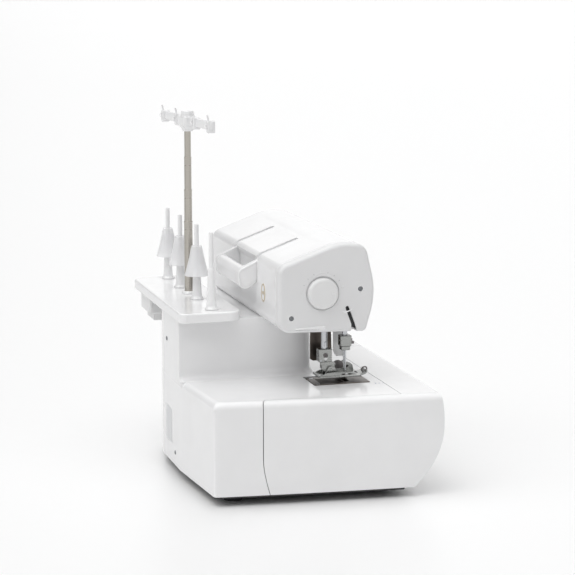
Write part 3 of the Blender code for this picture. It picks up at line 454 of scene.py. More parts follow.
def wire(name, points, radius, sides=12, bend=6):
    """A tube through points, its path smoothed by a Catmull-Rom curve."""
    knots = [Vector(p) for p in points]
    padded = [2 * knots[0] - knots[1]] + knots + [2 * knots[-1] - knots[-2]]
    path = []
    for a, b, c, d in zip(padded, padded[1:], padded[2:], padded[3:]):
        for t in [k / bend for k in range(bend)]:
            square = (2 * a - 5 * b + 4 * c - d) * t * t
            cube = (3 * b - a - 3 * c + d) * t**3
            path.append(0.5 * (2 * b + (c - a) * t + square + cube))
    path.append(knots[-1])
    rings = []
    side = Vector((1, 0, 0))
    for k, point in enumerate(path):
        ahead = (path[min(k + 1, len(path) - 1)] - path[max(k - 1, 0)]).normalized()
        side = side - ahead * side.dot(ahead)
        if side.length < 1e-3:
            side = ahead.orthogonal()
        side.normalize()
        other = ahead.cross(side)
        rings.append([point + (side * x + other * y) * radius for x, y in circle((0, 0), 1.0, sides)])
    return loft(name, rings)


def combine(obj, operation, *tools):
    """Applies a Boolean with each tool in turn, and removes the tools."""
    for tool in tools:
        modifier = obj.modifiers.new("combine", "BOOLEAN")
        modifier.operation = operation
        modifier.object = tool
        modifier.solver = "EXACT"
        apply_modifiers(obj)
        bpy.data.objects.remove(tool)
    return obj


def apply_modifiers(obj):
    graph = bpy.context.evaluated_depsgraph_get()
    mesh = bpy.data.meshes.new_from_object(obj.evaluated_get(graph))
    obj.modifiers.clear()
    obj.data = mesh
    return obj


def cut(obj, *tools):
    return combine(obj, "DIFFERENCE", *tools)


def join(obj, *tools):
    return combine(obj, "UNION", *tools)


def keep(obj, tool):
    return combine(obj, "INTERSECT", tool)


def finish(obj, look, body="machine", node="", bevel=0.0, angle=35.0):
    """Carries a piece to the frame, with its edges eased, its look, its body and the node it stands for."""
    if bevel:
        ease = obj.modifiers.new("ease", "BEVEL")
        ease.width = bevel
        ease.segments = 2
        ease.limit_method = "ANGLE"
        ease.angle_limit = math.radians(angle)
        apply_modifiers(obj)
    mesh = obj.data
    mesh.transform(TO_ROW)
    mesh.shade_smooth()
    mesh.set_sharp_from_angle(angle=math.radians(angle))
    mesh.materials.clear()
    mesh.materials.append(look)
    weigh = obj.modifiers.new("weigh", "WEIGHTED_NORMAL")
    weigh.keep_sharp = True
    apply_modifiers(obj)
    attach(obj, body)
    if node:
        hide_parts(node)
    return obj


# ---------------------------------------------------------------- bed, column and covers


def left_edge(y):
    share = -y / BODY_DEPTH
    return -LEFT_BOW * (BOW_START * share - (BOW_START - 1) * share * share)


def front_edge(z):
    if z < BED_BELLY:
        return -BODY_DEPTH + BED_UNDERCUT * (1 - z / BED_BELLY) ** BELLY_CURVE
    return -BODY_DEPTH + BED_LEAN * ((z - BED_BELLY) / (BED_HEIGHT - BED_BELLY)) ** 2


def rear_arc(inset, count=32):
    centre = (BODY_RIGHT - REAR_RADIUS, REAR_STEP - REAR_RADIUS)
    return arc(centre, REAR_RADIUS - inset, 90, 0, count)


def plan_outline(inset):
    """Bed and column together, from above."""
    low = -BODY_DEPTH - 0.5 + inset
    depths = [low + (-inset - low) * k / 24 for k in range(24)]
    left = [(left_edge(y) + inset, y) for y in depths]
    corner = arc((inset + 4, -inset - 4), 4, 180, 95, 8)
    rear = [(COLUMN_LEFT - 1, REAR_STEP - inset)] + rear_arc(inset)
    turn = arc((BODY_RIGHT - FRONT_RADIUS, low + FRONT_RADIUS - inset), FRONT_RADIUS - inset, 0, -90, 12)
    return left + corner + rear + turn


def column_outline(inset, flare=0):
    """The column from above. Its left and front walls can flare out over the bed."""
    radius = COLUMN_CORNER - inset + flare
    left, front = COLUMN_LEFT + inset - flare, COLUMN_FRONT + inset - flare
    front_right = arc((BODY_RIGHT - COLUMN_CORNER, front + radius), COLUMN_CORNER - inset, 0, -90, 10)
    front_left = arc((left + radius, front + radius), radius, 270, 180, 12)
    return rear_arc(inset) + front_right + front_left + [(left, REAR_STEP - inset)]


def bed_solid(name, inset):
    solid = layered(name, "Z", plan_outline, round_over(-30, BED_HEIGHT - inset, EDGE - inset, inset=inset))
    low, high = (-10 if inset else 0), BED_HEIGHT + 6
    heights = [low + (high - low) * k / 40 for k in range(41)]
    section = [(front_edge(z) + inset, z) for z in heights] + [(60, high), (60, low)]
    return keep(solid, prism(name + "_section", "X", section, -80, BODY_RIGHT + 50))


def side_zone(name, gap):
    """What the side cover takes of the bed, and with a gap, the room for it in the casing."""
    seam = SIDE_SEAM + gap
    low = -BODY_DEPTH - 30
    depths = [low + (seam - 10 - low) * k / 16 for k in range(17)]
    inner = [(left_edge(y) + SIDE_WRAP + gap, y) for y in depths]
    turn = arc((inner[-1][0] - 10, seam - 10), 10, 8, 90, 8)
    outline = [(-80, low)] + inner + turn + [(-80, seam)]
    zone = prism(name, "Z", outline, -40, BED_HEIGHT + 30)
    bend = [(seam - 8 * (1 - math.sin(math.pi * k / 16)), 45 * k / 8) for k in range(9)]
    slant = [(low, -50), (seam - 8, -50)] + bend + [(seam, 150), (low, 150)]
    return keep(zone, prism(name + "_slant", "X", slant, -90, 60))


def looper_zone(name, gap):
    low = (-80, -BODY_DEPTH - 50, -40)
    return block(name, low, (LOOPER_RIGHT + gap, LOOPER_SEAM + gap, 150))


def right_bore(name, y, z, radius):
    return rod(name, (BODY_RIGHT - 12, y, z), (BODY_RIGHT + 10, y, z), radius)


SIDE_DIALS = {"stitch_length_dial": -205, "differential_dial": -237}
SIDE_DIAL_Z = 80
POWER_HOLES = {"inlet": ((-182, 20), (-160, 44)), "switch": ((-215, 22), (-195, 42))}


def make_lower_casing():
    casing = bed_solid("bed_and_column_shell", 0)
    layers = [(FOOT_FILLET, BED_HEIGHT - 6)]
    for turn in [math.pi / 2 * k / 10 for k in range(11)]:
        rise = BED_HEIGHT - 0.05 + FOOT_FILLET * (1 - math.cos(turn))
        layers.append((FOOT_FILLET * (1 - math.sin(turn)), rise))
    layers.append((0, COLUMN_TOP))
    column = loft("column", [lift("Z", column_outline(COLUMN_STEP, flare), z) for flare, z in layers])
    join(column, prism("column_root", "Z", column_outline(COLUMN_STEP * 2), 60, BED_HEIGHT - 3))
    join(casing, column)
    cut(casing, bed_solid("bed_space", WALL))
    cut(casing, prism("column_space", "Z", column_outline(COLUMN_STEP + WALL), 50, COLUMN_TOP - WALL))
    cut(casing, side_zone("side_room", SEAM), looper_zone("looper_room", SEAM))
    plate_low = (PLATE_LEFT - 0.4, PLATE_FRONT - 0.4, BED_HEIGHT - 9)
    cut(casing, block("plate_room", plate_low, (PLATE_SLOT_RIGHT, PLATE_REAR + 0.4, BED_HEIGHT + 9)))
    cut(casing, block("post_room", (132, -151, COLUMN_TOP - 9), (157, -99, COLUMN_TOP + 9)))
    cut(casing, right_bore("shaft_bore", *SHAFT, 8))
    for name, y in SIDE_DIALS.items():
        cut(casing, right_bore(name + "_bore", y, SIDE_DIAL_Z, 3.5))
    for name, (low, high) in POWER_HOLES.items():
        corners = rounded(rectangle(low, high, 1.5), 4)
        cut(casing, prism(name + "_hole", "X", corners, BODY_RIGHT - 12, BODY_RIGHT + 10))
    finish(casing, WHITE, node="lower_casing", bevel=0.35)


def make_covers():
    side = keep(bed_solid("side_cover_shell", 0), side_zone("side_zone", 0))
    cut(side, bed_solid("side_space", WALL))
    finish(side, WHITE, "side_cover", "side_cover", bevel=0.35)
    looper = keep(bed_solid("looper_cover_shell", 0), looper_zone("looper_zone", 0))
    cut(looper, side_zone("looper_side", SEAM), bed_solid("looper_space", WALL))
    finish(looper, WHITE, "looper_cover", "looper_cover", bevel=0.35)


# ---------------------------------------------------------------- arm, head and handle

ALONG = (Vector(GRIP_CENTRE) - Vector(HANDLE_PIVOT)).normalized()
OUT = Vector((-ALONG.y, ALONG.x))


def recesses(name, grown):
    """The two slots that the handle's arms lie in, and the room for fingers between them."""
    pivot, grip = Vector(HANDLE_PIVOT), Vector(GRIP_CENTRE)
    side = RECESS_SIDE + grown
    left = (HANDLE_LEFT - side, HANDLE_LEFT + HANDLE_ARM + side)
    right = (HANDLE_RIGHT - HANDLE_ARM - side, HANDLE_RIGHT + side)
    floor = OUT * (RECESS_UNDER + grown)
    end = grip + ALONG * 40
    ahead = RECESS_AHEAD + grown
    front = [Vector((pivot.x - ahead, pivot.y + 60)), Vector((pivot.x - ahead, pivot.y))]
    slot = [pivot - ALONG * ahead - floor, end - floor, end + OUT * 60] + front
    begin = grip - ALONG * (FINGER_ROOM + grown)
    room = [begin, begin + ALONG * FINGER_RAMP - floor, end - floor, end + OUT * 60, begin + OUT * 60]
    slot_radii = (3, 1, 1, 1, 1.5)
    for (low, high), outline, radii in (
        (left, slot, slot_radii),
        (right, slot, slot_radii),
        ((left[0] + 1, right[1] - 1), room, (6, 6, 1, 1, 1)),
    ):
        corners = [(*point, radius) for point, radius in zip(outline, radii)]
        yield prism(f"{name}_{low:.0f}", "X", rounded(corners, 8), low, high)


arm_at = inset_by(ARM_CORNERS, 14)


def make_upper_casing():
    left = FACE_LEFT + FACE_DEPTH + GAP
    casing = layered("arm_shell", "X", arm_at, round_over(left, ARM_RIGHT, 10, 0.5))
    keep(casing, prism("arm_plan", "Z", plan_outline(0), 140, 330))
    cut(casing, *recesses("handle_recess", 0))
    space = prism("arm_space", "X", arm_at(WALL), left - 5, ARM_RIGHT - 10)
    keep(space, prism("arm_space_plan", "Z", plan_outline(WALL), 140, 330))
    cut(space, *recesses("handle_recess_wall", WALL))
    cut(casing, space)
    cut(casing, prism("column_room", "Z", column_outline(-0.5), 60, COLUMN_TOP + GAP))
    (low_x, low_y), (high_x, high_y) = HEAD_OPENING
    cut(casing, block("head_opening", (low_x, low_y, 160), (high_x, high_y, 191)))
    cut(casing, rod("handle_bore", (108, *HANDLE_PIVOT), (260, *HANDLE_PIVOT), 2.3, 24))
    for number, x in enumerate(TENSION_X, 1):
        cut(casing, rod(f"tension_bore_{number}", (x, -215, TENSION_Z), (x, -190, TENSION_Z), 3.5, 24))
    finish(casing, WHITE, node="upper_casing", bevel=0.5)


def make_face_cover():
    layers = round_over(-(FACE_LEFT + FACE_DEPTH), -FACE_LEFT, FACE_EDGE, 0.4, count=10)
    cover = loft("face_cover_shell", [lift("X", arm_at(inset), -height) for inset, height in layers])
    cut(cover, prism("face_space", "X", arm_at(WALL), FACE_LEFT + WALL, FACE_LEFT + 30))
    cut(cover, rod("face_dial_bore", (FACE_LEFT - 9, *FACE_DIAL), (FACE_LEFT + 9, *FACE_DIAL), 5.8))
    cut(cover, prism("thread_slot", "X", rounded(THREAD_SLOT, 8), FACE_LEFT - 9, FACE_LEFT + 30))
    well = [(20, 3), (20, -1.6), (18.2, -1.6), (18.2, 3)]
    cut(cover, lathe("dial_well", (FACE_LEFT, *FACE_DIAL), "-X", well, 96))
    for number, (y, z) in enumerate(FACE_SCREWS, 1):
        cut(
            cover,
            rod(f"screw_bore_{number}", (FACE_LEFT - 9, y, z), (FACE_LEFT + 9, y, z), 1.7, 24),
            rod(f"screw_sink_{number}", (FACE_LEFT - 9, y, z), (FACE_LEFT + 1.6, y, z), 3),
        )
    # The face cover wears the white plastic painted darker as shade.
    finish(cover, FACE_PAINTED_SHADE, node="face_cover", bevel=0.4)


def make_handle():
    """The grip with its two arms, seams round their caps, and the screws over the pivot."""

    def arm_outline(inset):
        eye = circle(HANDLE_PIVOT, HANDLE_EYE - inset, 72)
        grip_end = circle(GRIP_CENTRE, GRIP_RADIUS + 0.6 - inset, 72)
        return hull(eye, grip_end, circle(GRIP_HANG, GRIP_RADIUS - inset, 72))

    def scaled(inset, count=120):
        """The arm's outline with a fixed number of points, so that layers can be skinned."""
        points = [Vector(point) for point in arm_outline(inset)]
        lengths = [(points[k] - points[k - 1]).length for k in range(len(points))]
        total = sum(lengths)
        outline, travelled, k = [], 0, 0
        for step in range(count):
            target = total * step / count
            while travelled + lengths[(k + 1) % len(points)] < target:
                k += 1
                travelled += lengths[k % len(points)]
            share = (target - travelled) / lengths[(k + 1) % len(points)]
            outline.append(tuple(points[k % len(points)].lerp(points[(k + 1) % len(points)], share)))
        return outline

    left, right = HANDLE_LEFT, HANDLE_RIGHT
    grip = hull(circle(GRIP_CENTRE, GRIP_RADIUS, 96), circle(GRIP_HANG, GRIP_RADIUS - 0.4, 96))
    handle = prism("carry_handle_moulding", "X", grip, left + 3, right - 3)
    near = [(1.6, left), (0.7, left + 0.25), (0.2, left + 0.8), (0, left + 1.6), (0, left + HANDLE_ARM)]
    join(handle, layered("near_arm", "X", scaled, near))
    join(handle, layered("far_arm", "X", scaled, [(inset, left + right - x) for inset, x in reversed(near)]))
    for start, stop in ((left - 1, left + 0.5), (right - 0.5, right + 1)):
        groove = prism("cap_groove", "X", arm_outline(2.3), start, stop)
        cut(groove, prism("cap_plug", "X", arm_outline(2.8), start - 1, stop + 1))
        cut(handle, groove)
    low = (left + HANDLE_ARM + 2, GRIP_HANG[0] + 3, GRIP_HANG[1] - GRIP_RADIUS - 1)
    high = (right - HANDLE_ARM - 2, low[1] + 0.5, low[2] + 2.2)
    cut(handle, block("grip_parting", low, high))
    cut(handle, rod("eye_bore", (left - 9, *HANDLE_PIVOT), (right + 9, *HANDLE_PIVOT), 2.3, 24))
    finish(handle, WHITE, "carry_handle", "carry_handle", bevel=0.15)
    for side, x in (("near", left + HANDLE_ARM / 2), ("far", right - HANDLE_ARM / 2)):
        top = Vector(HANDLE_PIVOT) + OUT * (HANDLE_EYE - 0.25)
        out = Vector((0, OUT.x, OUT.y))
        at = Vector((x, top.x, top.y))
        finish(rod(f"pivot_screw_{side}", at, at + out * 0.5, 1.3, 24, edge=0.15), SCREW, "carry_handle")


def screw_head(name, at, axis, radius, height, look, body="machine", node=""):
    """A pan head with a cross recess."""
    profile = eased([(0, height, 0), (radius, height, height * 0.7), (radius, 0, 0), (0, 0, 0)], 6)
    head = lathe(name, at, axis, profile, 32)
    ahead = {"-X": Vector((-1, 0, 0)), "Y": Vector((0, 1, 0))}[axis]
    up = Vector((0, 0, 1))
    side = up.cross(ahead)
    centre = Vector(at) + ahead * height
    for first, second in ((side, up), (up, side)):
        reach = first * radius * 0.62 + second * radius * 0.13 + ahead * height * 0.55
        corners = [centre - reach, centre + reach]
        low, high = ([pick(c[k] for c in corners) for k in range(3)] for pick in (min, max))
        cut(head, block("cross", low, high))
    finish(head, look, body, node)


def badge_oval(name, half_u, half_v, layers):
    """An oval standing on the arm's rear, at each (inset, height) from its surface."""
    rear = ARM_CORNERS[0][0]

    def oval(inset):
        u, v = half_u - inset, half_v - inset
        return [(BADGE[1] + u * a, BADGE[0] + v * b) for a, b in circle((0, 0), 1, 64)]

    return layered(name, "Y", oval, [(inset, rear + height) for inset, height in layers])


def make_face_details():
    for number, (y, z) in enumerate(FACE_SCREWS, 1):
        at = (FACE_LEFT + 1.5, y, z)
        screw_head(f"face_screw_head_{number}", at, "-X", 2.7, 1.3, SCREW, node=f"face_screw_{number}")
        ring = eased([(4.1, 0.35, 0.2), (4.3, -0.3, 0), (3.1, -0.3, 0), (3.1, 0.35, 0.2), (4.1, 0.35, 0)], 3)
        finish(lathe(f"screw_ring_{number}", (FACE_LEFT, y, z), "-X", ring[:-1], 48), WHITE)
    y, z = FACE_DIAL
    rim = [(0, 6.2, 0), (15.6, 6.2, 0.8), (18.1, 5, 1.2), (18.5, 1.2, 0.6), (18.2, 0.6, 0), (5.3, 0.6, 0),
           (5.3, -16, 0), (0, -16, 0)]
    dial = lathe("pressure_dial_cap", (FACE_LEFT, y, z), "-X", eased(rim, 6), 120, 60, 0.14, (5, 18))
    finish(dial, DIAL, "pressure_dial", "pressure_dial", bevel=0.1, angle=50)
    pointer = [(y - 15.4, z), (y - 9.4, z + 1.9), (y - 9.4, z - 1.9)]
    arrow = prism("dial_pointer", "X", pointer, FACE_LEFT - 6.5, FACE_LEFT - 6.1)
    finish(arrow, WHITE, "pressure_dial", bevel=0.1)
    ring = [(20.4, 0.7, 0), (22.4, 0.7, 0.2), (22.6, -0.6, 0), (20.2, -0.6, 0)]
    scale = lathe("dial_scale_ring", (FACE_LEFT, y, z), "-X", eased(ring), 96)
    span = [(y, z), (y + 12, z + 40), (y - 60, z + 40), (y - 60, z - 34), (y - 20, z - 34)]
    keep(scale, prism("scale_span", "X", span, FACE_LEFT - 9, FACE_LEFT + 9))
    # The scale ring wears the face's grey, which is painted shade.
    finish(scale, FACE_PAINTED_SHADE, bevel=0.08)
    for k in range(9):
        turn = math.radians(165 - k * 20)
        ends = [
            (FACE_LEFT - 0.06, y + math.cos(turn) * reach, z + math.sin(turn) * reach)
            for reach in (24, 25.6 if k % 4 else 27.6)
        ]
        finish(rod(f"scale_tick_{k + 1}", *ends, 0.32, 12, edge=0.1), TICK if k % 4 else WHITE)
    bend = ((2, -163, 201.6), (-2.5, -165.5, 201.8), (-3.2, -169, 202.6), (-2.4, -173.5, 203.9),
            (-0.2, -175.4, 204.6))
    finish(wire("face_thread_guide", [(FACE_LEFT + x, y, z) for x, y, z in bend], 0.75), WHITE)
    backing = inset_by(((-160, 182, 1), (-160, 214, 2), (-184, 214, 2), (-188, 182, 1)), 10)
    finish(layered("slot_backing", "X", backing, [(0, 38), (0, 39)]), BLACK, bevel=0.2)
    lip = inset_by([(-143, 187, 1.2), (-106, 184.6, 0.6), (-107, 182.6, 0.6), (-143, 181.6, 1)], 6)
    finish(layered("finger_lip", "X", lip, [(0, 34), (0, 32), (0.6, 31.2)]), WHITE, bevel=0.1)
    ring = badge_oval("badge_ring", 11, 8.2, [(0, -0.5), (0, 0.35), (0.3, 0.6)])
    cut(ring, badge_oval("badge_hole", 9.6, 6.8, [(0, -2), (0, 2)]))
    finish(ring, CHAMPAGNE)
    finish(badge_oval("badge_disc", 9.4, 6.6, [(0, -0.5), (0, 0.15), (0.3, 0.3)]), WHITE)
    finish(badge_oval("badge_bar", 2.2, 4.4, [(0, 0), (0, 0.4), (0.2, 0.5)]), CHAMPAGNE)


def make_tray():
    (left, front, low), (right, rear, top) = TRAY_LOW, TRAY_HIGH
    corners = rectangle((left, front), (right, rear), TRAY_CORNER, TRAY_CORNER, TRAY_CORNER, TRAY_CORNER / 2)
    outline = inset_by(corners, 18)
    tray = layered("thread_tray_slab", "Z", outline, round_over(low, top, 2.2, 0.8))
    cut(tray, prism("tray_space", "Z", outline(WALL), low - 10, top - WALL))
    for offset in PIN_SPACING:
        at = (ANTENNA[0] + offset, ANTENNA[1], top - 0.35)
        cut(tray, lathe("pin_pocket", at, "Z", [(12, 3), (12, 0), (11.2, 0), (11.2, 3)], 72))
    finish(tray, WHITE, node="thread_tray", bevel=0.2)
    low, high = frame_box("tray_bracket")
    steps = ((8, 0), (7, 0.8), (7, 8), (2.6, 10.5), (0.5, 11), (0, 11.6))
    layers = [(inset, low.z + rise) for inset, rise in steps] + [(0, high.z - 0.5), (0.5, high.z)]
    sides = rectangle(low.xy, high.xy, 3.5)
    bracket = layered("tray_bracket_moulding", "Z", inset_by(sides), layers)
    finish(bracket, DIAL, node="tray_bracket", bevel=0.3)


def make_spool_pins():
    top = TRAY_HIGH.z
    sleeve, height = SLEEVE_TOP - top, PIN_TOP - top
    profile = eased(
        [(0, height, 0), (2.5, height, 0.9), (2.75, height - 4, 0), (2.8, sleeve + 2, 0.6),
         (3.6, sleeve + 1, 0.7), (4.3, sleeve - 3, 1.5), (5.6, 10, 4), (6.3, 3.4, 2), (8.2, 1.4, 0.8),
         (8.2, 0.3, 0), (0, 0.3, 0)],
        6,
    )
    shell = eased(
        [(3.15, 18.5, 0), (6.2, 18.5, 0.8), (7.6, 13, 3), (9.8, 1, 4), (14.8, -17.4, 0.5), (14.7, -18.6, 0.2),
         (13.8, -18.6, 0.2), (8.8, 1, 3), (6.6, 10, 2), (4.4, 11, 0.8), (3.15, 9.5, 0)],
        6,
    )
    for number, offset in enumerate(PIN_SPACING, 1):
        x, y = ANTENNA[0] + offset, ANTENNA[1]
        pin = lathe(f"spool_pin_moulding_{number}", (x, y, top), "Z", profile, 56)
        finish(pin, WHITE, node=f"spool_pin_{number}", angle=40)
        if number == 1:
            continue
        cone = lathe(f"cone_moulding_{number}", (x, y, SLEEVE_TOP), "Z", shell, 96, 8, 0.22, (8, 24))
        for k in range(4):
            turn = math.radians(45 + 90 * k)
            out = Vector((math.cos(turn), math.sin(turn), 0))
            across = Vector((-out.y, out.x, 0)) * 0.4
            rings = []
            for reach, high, low in ((5, 4, -8), (11.6, -12, -15)):
                at = Vector((x, y, SLEEVE_TOP)) + out * reach
                sides = ((1, high), (-1, high), (-1, low), (1, low))
                rings.append([at + across * side + Vector((0, 0, z)) for side, z in sides])
            finish(loft(f"cone_rib_{number}_{k + 1}", rings), FROSTED, f"cone_{number}")
        finish(cone, FROSTED, f"cone_{number}", f"cone_holder_{number}", angle=60)


def make_antenna():
    x, y = ANTENNA
    low = TRAY_HIGH.z + GAP
    for number, top in enumerate(TUBE_TOPS, 1):
        radius = TUBE_RADIUS - (number - 1) * TUBE_STEP
        bore, length = radius - TUBE_WALL, top - low
        wider = number < len(TUBE_TOPS)
        lip = radius + (0.22 if wider else 0)
        profile = [(bore, length), (radius - 0.1, length), (lip, length - 0.25), (lip, length - 1.3),
                   (radius, length - 1.7)]
        if wider:
            profile += [(radius, length - 9.4), (radius - 0.25, length - 9.8), (radius - 0.25, length - 10.4),
                        (radius, length - 10.8)]
        profile += [(radius, 0), (bore, 0)]
        tube = lathe(f"telescope_tube_{number}", (x, y, low), "Z", profile, 72)
        body = "machine" if number == 1 else f"antenna_{number}"
        finish(tube, STEEL, body, f"antenna_tube_{number}", angle=40)
        low = top - TUBE_LAP
    collar = eased([(5.4, 3.2, 0), (7.4, 3.2, 0.8), (8.8, 0.3, 0), (5.4, 0.3, 0)], 5)
    finish(lathe("antenna_collar", (x, y, TRAY_HIGH.z), "Z", collar, 64), WHITE)


def make_guide_bar():
    low, high = GUIDE_BAR_LOW + 8, GUIDE_BAR_TOP - 6.5
    half = GUIDE_BAR_HALF
    turn = Matrix.Translation((*ANTENNA, 0)) @ Matrix.Rotation(math.radians(GUIDE_BAR_TURN), 4, "Z")
    plate_at = inset_by(rectangle((low, -half), (high, half), 2))
    bar = layered("thread_guide_moulding", "Y", plate_at, [(0.5, -1.8), (0, -1.3), (0, 1.3), (0.5, 1.8)])
    hub = [(0, GUIDE_BAR_TOP, 0), (7.6, GUIDE_BAR_TOP, 1), (8.3, high + 0.5, 0.5), (8.5, low, 3),
           (7.2, GUIDE_BAR_LOW + 3, 2), (6.4, GUIDE_BAR_LOW, 0.6), (0, GUIDE_BAR_LOW, 0)]
    join(bar, lathe("guide_hub", (0, 0, 0), "Z", eased(hub, 6), 64))
    layers = [(4.5, low - 5.5), (1, low - 1.5), (0, low), (0, high - 0.8), (0.8, high + 0.2)]
    join(bar, layered("guide_block", "Z", inset_by(rectangle((-14, -9), (14, 9), 4)), layers))
    for offset in GUIDE_CLIPS:
        clip = inset_by(rectangle((offset - 3, -5), (offset + 3, 5), 1.5), 6)
        layers = [(1.4, low - 3.4), (0.3, low - 2.6), (0, low - 1.6), (0, high), (0.6, high + 0.8)]
        join(bar, layered("clip", "Z", clip, layers))
        prong = [(offset, 3.2, high - 2), (offset, 3.4, high + 3), (offset, 4.6, high + 7.6)]
        join(bar, wire("prong", prong, 1.1))
        cut(bar, block("slit", (offset - 1.1, -9, low + 1.8), (offset + 1.1, 9, high - 2.6)))
        cut(bar, block("mouth", (offset - 0.35, -9, high - 3), (offset + 0.35, 1.5, high + 4)))
    cut(bar, rod("bore", (0, 0, 380), (0, 0, TUBE_TOPS[-1] + GAP), 4.35, 48))
    bar.data.transform(turn)
    finish(bar, WHITE, "guide_bar", "thread_guide_bar", bevel=0.25)
    eye_path = ((-1.6, 3, 2.5), (-2, 6.4, 3.5), (0.2, 7.4, 5), (2, 6.2, 6.4), (1.4, 3, 7.5))
    for number, offset in enumerate(GUIDE_CLIPS, 1):
        insert = block(f"guide_spring_{number}", (offset - 1, -1.2, low + 1.6), (offset + 1, 1.2, high - 2.4))
        eye = wire(f"guide_eye_{number}", [(offset + x, y, low + z) for x, y, z in eye_path], 0.55)
        for piece, look in ((insert, SCREW), (eye, WHITE)):
            piece.data.transform(turn)
            finish(piece, look, "guide_bar")


def tick(name, at, plane, turn, inner, outer, radius=0.28, skew=(0, 0), look=TICK):
    """A printed line on a dial's scale, from inner to outer, in the XZ or YZ plane."""
    ends = []
    for reach, shift in ((inner, skew[0]), (outer, skew[1])):
        along, rise = math.cos(turn) * reach, math.sin(turn) * reach
        x, y, z = at
        ends.append((x + along, y + shift, z + rise) if plane == "XZ" else (x + shift, y + along, z + rise))
    finish(rod(name, *ends, radius, 8), look)


def make_front_dials():
    z = TENSION_Z
    for number, x in enumerate(TENSION_X, 1):
        profile = eased([(0, 7.2, 0), (9.6, 7.2, 0.6), (11.6, 6.6, 0.6), (12.8, 5.2, 0.8), (12.8, 0.3, 0.3),
                         (11.5, 0, 0), (3, 0, 0), (3, -14, 0), (0, -14, 0)], 4)
        dial = lathe(f"tension_dial_cap_{number}", (x, -207.2, z), "-Y", profile, 192, 48, 0.28, (11, 22))
        finish(dial, DIAL, f"tension_{number}", f"tension_dial_{number}", angle=55)
        mark = rod(f"tension_mark_{number}", (x, -214.45, z + 5.5), (x, -214.45, z + 10.2), 0.4, 10)
        finish(mark, TICK, f"tension_{number}")
        for k in range(7):
            turn = math.radians(90 + (k - 3) * 20)
            at = (x, -206.6 if math.sin(turn) > 0.9 else -206.2, z)
            outer = 15.6 if k % 3 else 16.6
            tick(f"tension_tick_{number}_{k + 1}", at, "XZ", turn, 14.2, outer, skew=(-0.05, 0.25))
    low, high = frame_box("handwheel")
    radius, width = (high.y - low.y) / 2, high.x - low.x
    profile = eased([(0, width - 0.4, 0), (6, width - 0.4, 0.5), (7, width - 1.6, 0.8), (20, width - 2.4, 2),
                     (26, width, 1.5), (radius - 3, width, 1.6), (radius, width - 4.5, 2), (radius, 3, 1.5),
                     (radius - 3, 0, 0), (6.4, 0, 0), (6.4, width - 6.5, 0), (0, width - 6.5, 0)], 5)
    wheel = lathe("handwheel_moulding", (low.x, *SHAFT), "X", profile, 288, 36, 0.7, (26, 42))
    finish(wheel, DIAL, "main_shaft", "handwheel", angle=55)
    x, (y, z) = high.x - 1.9, SHAFT
    finish(rod("handwheel_mark", (x, y, z + 14), (x, y, z + 19), 0.5, 10), TICK, "main_shaft")
    for name, y in SIDE_DIALS.items():
        body = name[: -len("_dial")]
        profile = eased([(0, 9, 0), (10.4, 9, 1), (12, 7.2, 1), (12, 0.6, 0.3), (11, 0, 0), (3, 0, 0),
                         (3, -11, 0), (0, -11, 0)], 5)
        dial = lathe(name + "_cap", (BODY_RIGHT + 0.6, y, SIDE_DIAL_Z), "X", profile, 160, 40, 0.25, (6, 18))
        finish(dial, DIAL, body, name, angle=55)
        x = BODY_RIGHT + 9.55
        finish(rod(name + "_mark", (x, y, SIDE_DIAL_Z + 5), (x, y, SIDE_DIAL_Z + 9.4), 0.4, 10), TICK, body)
        for k in range(9):
            turn = math.radians(90 + (k - 4) * 30)
            if math.sin(turn) > -0.9:
                at = (BODY_RIGHT + 0.05, y, SIDE_DIAL_Z)
                tick(f"{name}_tick_{k + 1}", at, "YZ", turn, 13.2, 15)


